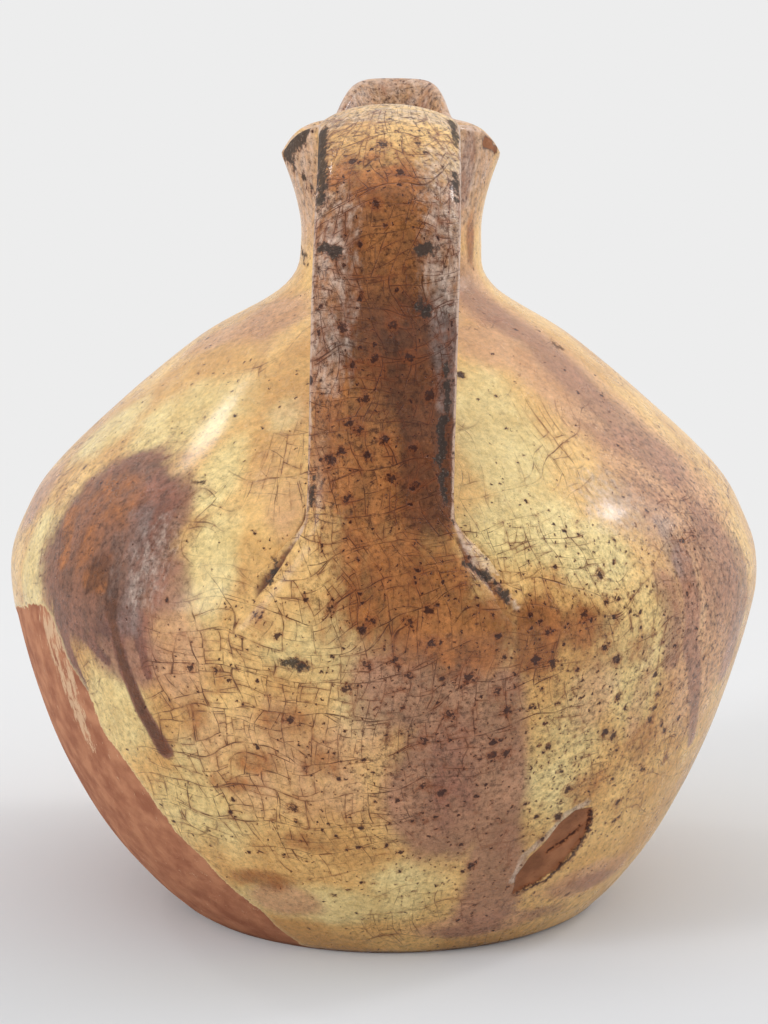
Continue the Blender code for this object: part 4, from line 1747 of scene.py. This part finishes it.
@dataclass
class Pitcher:
    """The whole pitcher: the glazed pot and its handle."""

    camera: PhotoCamera
    pot: ThrownPot = field(default_factory=ThrownPot)
    dent: float = 0.00035
    dent_size: float = 0.045
    ripple: float = 0.00005
    ripple_size: float = 0.009
    even_below: float = 0.003
    uneven_above: float = 0.02
    worn_lip: float = 0.0025
    lip_wear: float = 0.55
    worn_edge: float = 0.0013
    wear_starts: tuple = (0.112, 0.135)
    wear_side_mm: tuple = (-0.8, 0.6)
    own_glaze: tuple = (0.140, 0.118)
    marked_mouth: float = 0.030
    inner_tan: float = 0.8
    underside_bare_mm: float = 3.0
    back_clouds: int = 20
    back_pours: tuple = ((128, 104), (236, 92))
    seed: int = 7

    def seen_marks(self) -> list[Mark]:
        """Marks for the side of the pot that the photo shows.

        Returns:
            The marks.
        """
        hidden = tuple(Place(*spot) for spot in RESERVE_HIDDEN)
        edge = (*seen_path(*RESERVE_EDGE), *hidden, *seen_path(*RESERVE_TOP))
        reserve = Mark(Layer.BARE, edge, relief=-0.35, filled=True)
        scar = Mark(Layer.CHIP, seen_path(*SCAR_EDGE), relief=-0.7, filled=True)
        return [reserve, scar, *listed(Carrier.POT, POT_PATCHES, POT_RUNS, POT_SPOTS)]

    def hidden_marks(self) -> list[Mark]:
        """Marks for the side that the photo doesn't show, in the manner of those it shows.

        Returns:
            The marks.
        """
        draw = random.Random(self.seed)
        kinds = (Layer.STRAW, Layer.TAN, Layer.STRAW, Layer.MAUVE, Layer.TAN, Layer.STRAW, Layer.RUST)
        marks = []
        for at in range(self.back_clouds):
            bearing, height = draw.uniform(98, 256), draw.uniform(15, 165)
            for _ in range(3):
                spot = (Place(bearing + draw.uniform(-9, 9), max(height + draw.uniform(-14, 14), 4)),)
                wide, tall = draw.uniform(14, 34), draw.uniform(20, 52)
                tilt = draw.uniform(-25, 25)
                marks.append(Mark(kinds[at % len(kinds)], spot, wide, tall, draw.uniform(0.5, 1.0), tilt))
        for bearing, height in self.back_pours:
            marks += self.pour(draw, bearing, height)
        for bearing in (100, 140, 180, 220, 255):
            for height in (50, 110):
                spot = (Place(bearing + draw.uniform(-10, 10), height + draw.uniform(-10, 10)),)
                marks.append(Mark(Layer.GRIME, spot, 90, 70, draw.uniform(0.2, 0.6)))
                marks.append(Mark(Layer.CRAZE, spot, 90, 70, draw.uniform(0.3, 1.1)))
                marks.append(Mark(Layer.SPECKS, spot, 80, 60, draw.uniform(0.1, 0.5)))
        return marks

    def pour(self, draw: random.Random, bearing: float, height: float) -> list[Mark]:
        """A brown cloud with a rusty middle, where the glaze was poured, and the runs that left it.

        Args:
            draw: the source of its unevenness.
            bearing: its middle, in degrees from the handle.
            height: its middle, in millimetres above the table.

        Returns:
            Its marks.
        """
        marks = []
        for _ in range(4):
            spot = (Place(bearing + draw.uniform(-7, 7), height + draw.uniform(-13, 13)),)
            wide, tall = draw.uniform(22, 34), draw.uniform(20, 36)
            marks.append(Mark(Layer.UMBER, spot, wide, tall, draw.uniform(0.8, 1.05)))
        middle = (Place(bearing + draw.uniform(-4, 4), height + draw.uniform(-6, 6)),)
        marks.append(Mark(Layer.RUST, middle, 22, 18, 0.85))
        for step in range(-1, 3):
            left = bearing + 6 * step + draw.uniform(-3, 3)
            low = height - draw.uniform(24, 66)
            run = (Place(left, height), Place(left + draw.uniform(-3, 3), low))
            wide = draw.uniform(3.5, 8.0)
            marks.append(Mark(Layer.UMBER, run, wide, end_wide=3.4, amount=draw.uniform(0.75, 1.2)))
        return marks

    def build(self) -> None:
        """Builds both pieces, paints them and sets them in the frame."""
        glaze = LeadGlaze().build()
        dresser = Dresser(self.camera, self.pot)
        marks = self.seen_marks() + self.hidden_marks()
        self.build_pot(dresser, marks, glaze)
        self.build_handle(dresser, marks, glaze)

    def build_pot(self, dresser: Dresser, marks: list[Mark], glaze: bpy.types.Material) -> None:
        """Builds and paints the pot.

        Args:
            dresser: lays the marks.
            marks: the pot's marks.
            glaze: its material.
        """
        bm = self.pot.build_plain()
        self.pot.refine(bm, REFINED)
        plain = points_of(bm)
        outside = self.pot.outside(plain)
        plain = self.pot.rounded(plain, outside)
        shaped = self.pot.shaped(plain)
        move_to(bm, shaped)
        normals = normals_of(bm)
        skin = self.pot.skin(plain)
        dresser.aim_at(Carrier.POT, bm, skin)
        painting = dresser.paint(skin, marks, Carrier.POT)
        lip_gap = np.abs(plain[:, 2] - self.pot.rim_height) / self.worn_lip
        painting.fields[Layer.ARRIS] = self.lip_wear * np.clip(1 - lip_gap, 0, 1)
        self.hide_inside(painting, outside, plain)
        self.unevenness(painting, shaped, outside)
        move_to(bm, shaped + normals * (painting.relief * outside)[:, None])
        self.finish("glazed_pot", bm, painting, glaze, OCHRE_SLOT, "lower_body", "upper_body", "neck_collar")

    def build_handle(self, dresser: Dresser, marks: list[Mark], glaze: bpy.types.Material) -> None:
        """Builds the handle and paints it, in its own glaze above and in the pot's where it joins the belly.

        Args:
            dresser: lays the marks.
            marks: the pot's marks.
            glaze: its material.
        """
        handle = PulledHandle(self.pot)
        bm, layers = handle.build()
        handle.fillet(bm, layers)
        handle.seat(bm)
        normals = normals_of(bm)
        across, along, outward, edge = (
            np.array([vert[layer] for vert in bm.verts]) for layer in layers.values()
        )
        skin = Skin(across, -along, np.ones(len(bm.verts)), False)
        dresser.aim_at(Carrier.HANDLE, bm, skin)
        places = points_of(bm)
        own_marks = listed(Carrier.HANDLE, HANDLE_PATCHES, HANDLE_RUNS, HANDLE_SPOTS)
        own = dresser.paint(skin, own_marks, Carrier.HANDLE)
        near = dresser.paint(self.pot.skin(places), marks, Carrier.POT)
        share = smoothstep(*self.own_glaze, places[:, 2])
        for layer in Layer:
            own.fields[layer] += (near.fields[layer] - own.fields[layer]) * share
        own.relief += (near.relief - own.relief) * share
        above = smoothstep(*self.wear_starts, places[:, 2])
        upper = smoothstep(*self.wear_side_mm, outward)
        own.fields[Layer.ARRIS] = np.clip(1 - edge * MM / self.worn_edge, 0, 1) * above * upper
        self.unevenness(own, places, np.ones(len(places), bool))
        move_to(bm, places + normals * own.relief[:, None])
        nodes = ("strap_handle", "handle_top_luting", "handle_bottom_luting")
        self.finish("strap_handle_glazed", bm, own, glaze, BROWN_SLOT, *nodes)

    def hide_inside(self, painting: Painting, outside: np.ndarray, plain: np.ndarray) -> None:
        """Keeps the marks off the inside below the mouth, which is plain tan glaze, and bares the underside.

        Args:
            painting: the pot's layers.
            outside: whether each of its points lies on its outside.
            plain: the places of its points on the plain pot.
        """
        deep = ~outside & (plain[:, 2] < self.pot.rim_height - self.marked_mouth)
        for layer in set(Layer) - {Layer.ARRIS}:
            painting.fields[layer][deep] = painting.empty(layer)
        painting.fields[Layer.TAN][deep] = self.inner_tan
        painting.fields[Layer.BARE][plain[:, 2] < self.pot.foot_lift + TINY] = self.underside_bare_mm
        painting.relief[~outside] = 0.0

    def unevenness(self, painting: Painting, places: np.ndarray, outside: np.ndarray) -> None:
        """Adds the slow dents and faint ripples that hands leave on clay.

        Args:
            painting: takes them in its relief.
            places: the piece's points.
            outside: whether each of them lies on its outside.
        """
        at = np.flatnonzero(outside & (places[:, 2] > self.even_below))
        ease = smoothstep(self.even_below, self.uneven_above, places[at, 2])
        painting.relief[at] += self.dent * noise_at(places[at], self.dent_size, 3.1) * ease
        painting.relief[at] += self.ripple * noise_at(places[at], self.ripple_size, 8.7) * ease

    def finish(
        self,
        name: str,
        bm: bmesh.types.BMesh,
        painting: Painting,
        glaze: bpy.types.Material,
        slot: str,
        *nodes: str,
    ) -> None:
        """Makes a painted piece and rides it on the pitcher's body in place of its solids.

        Args:
            name: the piece's name.
            bm: its faces. It is freed.
            painting: its layers.
            glaze: its material.
            slot: not used.
            *nodes: the solids that it stands for.
        """
        obj = as_object(name, bm)
        painting.store(obj.data)
        obj.data.materials.append(glaze)
        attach(obj, ROOT_BODY)
        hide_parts(*nodes)
        log.info("%s: %d vertices for %s", obj.name, len(obj.data.vertices), ", ".join(nodes))


@dataclass(frozen=True)
class Softbox:
    """A soft lamp: where it stands round the pitcher, its size and its power."""

    name: str
    bearing: float
    elevation: float
    distance: float
    wide: float
    tall: float
    power: float


@dataclass
class Studio:
    """A pale sweep with soft light from both sides."""

    floor_colour: str = "#dedfe1"
    backdrop_colour: str = "#ededed"
    beyond_colour: str = "#f1f1f1"
    world_colour: str = "#ffffff"
    world_strength: float = 0.71
    world_in_gloss: float = 0.18
    sweep_width: float = 8.0
    sweep_front: float = -4.0
    sweep_back: float = 1.2
    sweep_radius: float = 0.8
    sweep_top: float = 4.0
    even_light: tuple = (-0.1, 0.6)
    target: tuple = (0.0, 0.0, 0.12)
    lamps: tuple = (
        Softbox("top_panel", 180, 80, 1.5, 1.6, 1.6, 6.6),
        Softbox("left_panel", -95, 25, 4.2, 3.15, 3.15, 12.0),
        Softbox("right_panel", 95, 30, 4.2, 3.15, 3.15, 10.0),
        Softbox("right_key", 104, 43, 4.0, 0.60, 0.42, 25.0),
        Softbox("right_window", 104, 32, 4.0, 1.86, 1.57, 32.0),
        Softbox("left_key", -122, 49, 4.0, 0.31, 0.31, 11.0),
        Softbox("left_window", -58, 19, 4.0, 0.91, 1.75, 38.0),
    )

    def build(self) -> None:
        """Builds the floor, the lamps and the pale surroundings."""
        self.build_floor()
        for lamp in self.lamps:
            self.build_lamp(lamp)
        world = bpy.data.worlds.new("pale_studio")
        nodes = Nodes(world)
        path = nodes.add("LightPath", out=None)
        strengths = (path["Is Glossy Ray"], None, None, self.world_strength, self.world_in_gloss)
        level = nodes.add("MapRange", strengths)
        light = nodes.add("Background", {"Color": linear(self.world_colour), "Strength": level})
        shown = nodes.add("Background", {"Color": linear(self.beyond_colour), "Strength": 1.0})
        mixed = nodes.add("MixShader", (path["Is Camera Ray"], light, shown))
        nodes.add("OutputWorld", (mixed,), None)
        bpy.context.scene.world = world
        bpy.context.scene.view_settings.view_transform = "Standard"

    def build_floor(self) -> None:
        """Lays the pale floor, which curves up to the backdrop."""
        bend = [math.radians(10 * step) for step in range(1, 10)]
        line = [(self.sweep_front, 0.0), (self.sweep_back, 0.0)]
        line += [
            (self.sweep_back + self.sweep_radius * math.sin(turn), self.sweep_radius * (1 - math.cos(turn)))
            for turn in bend
        ]
        line.append((self.sweep_back + self.sweep_radius, self.sweep_top))
        bm = bmesh.new()
        left = [bm.verts.new((-self.sweep_width / 2, y, z)) for y, z in line]
        edges = [bm.edges.new(pair) for pair in zip(left, left[1:])]
        made = bmesh.ops.extrude_edge_only(bm, edges=edges)["geom"]
        corners = [item for item in made if isinstance(item, bmesh.types.BMVert)]
        bmesh.ops.translate(bm, verts=corners, vec=(self.sweep_width, 0, 0))
        bmesh.ops.recalc_face_normals(bm, faces=bm.faces)
        obj = as_object("sweep", bm)
        obj.data.materials.append(self.sweep_material())

    def sweep_material(self) -> bpy.types.Material:
        """Matt pale paper, whose far part shows the camera its own even colour.

        Returns:
            The material.
        """
        material = bpy.data.materials.new("matt_pale_sweep")
        nodes = Nodes(material)
        along = nodes.add("SeparateXYZ", (nodes.spots,), "Y")
        far = nodes.add("MapRange", (along, *self.even_light), interpolation_type="SMOOTHSTEP")
        path = nodes.add("LightPath", out=None)
        seen = nodes.add("Math", (path["Is Camera Ray"], path["Is Glossy Ray"]), operation="MAXIMUM")
        share = nodes.add("Math", (far, seen), operation="MULTIPLY")
        matt = nodes.add("BsdfDiffuse", {"Color": linear(self.floor_colour), "Roughness": 1.0})
        even = nodes.add("Emission", {"Color": linear(self.backdrop_colour), "Strength": 1.0})
        nodes.add("OutputMaterial", (nodes.add("MixShader", (share, matt, even)),), None)
        return material

    def build_lamp(self, lamp: Softbox) -> None:
        """Hangs one soft lamp, aimed at the pitcher.

        Args:
            lamp: its place, size and power.
        """
        light = bpy.data.lights.new(lamp.name, "AREA")
        light.shape = "RECTANGLE"
        light.size = lamp.wide
        light.size_y = lamp.tall
        light.energy = lamp.power
        obj = bpy.data.objects.new(lamp.name, light)
        bearing, elevation = math.radians(lamp.bearing), math.radians(lamp.elevation)
        level = math.cos(elevation)
        away = Vector((math.sin(bearing) * level, -math.cos(bearing) * level, math.sin(elevation)))
        obj.location = Vector(self.target) + away * lamp.distance
        obj.rotation_euler = away.to_track_quat("Z", "Y").to_euler()
        bpy.context.scene.collection.objects.link(obj)


def main() -> None:
    """Builds the camera, the studio and the pitcher."""
    logging.basicConfig(level=logging.INFO, format="%(name)s: %(message)s")
    camera = PhotoCamera()
    camera.build()
    Studio().build()
    Pitcher(camera).build()


if __name__ == "__main__":
    main()
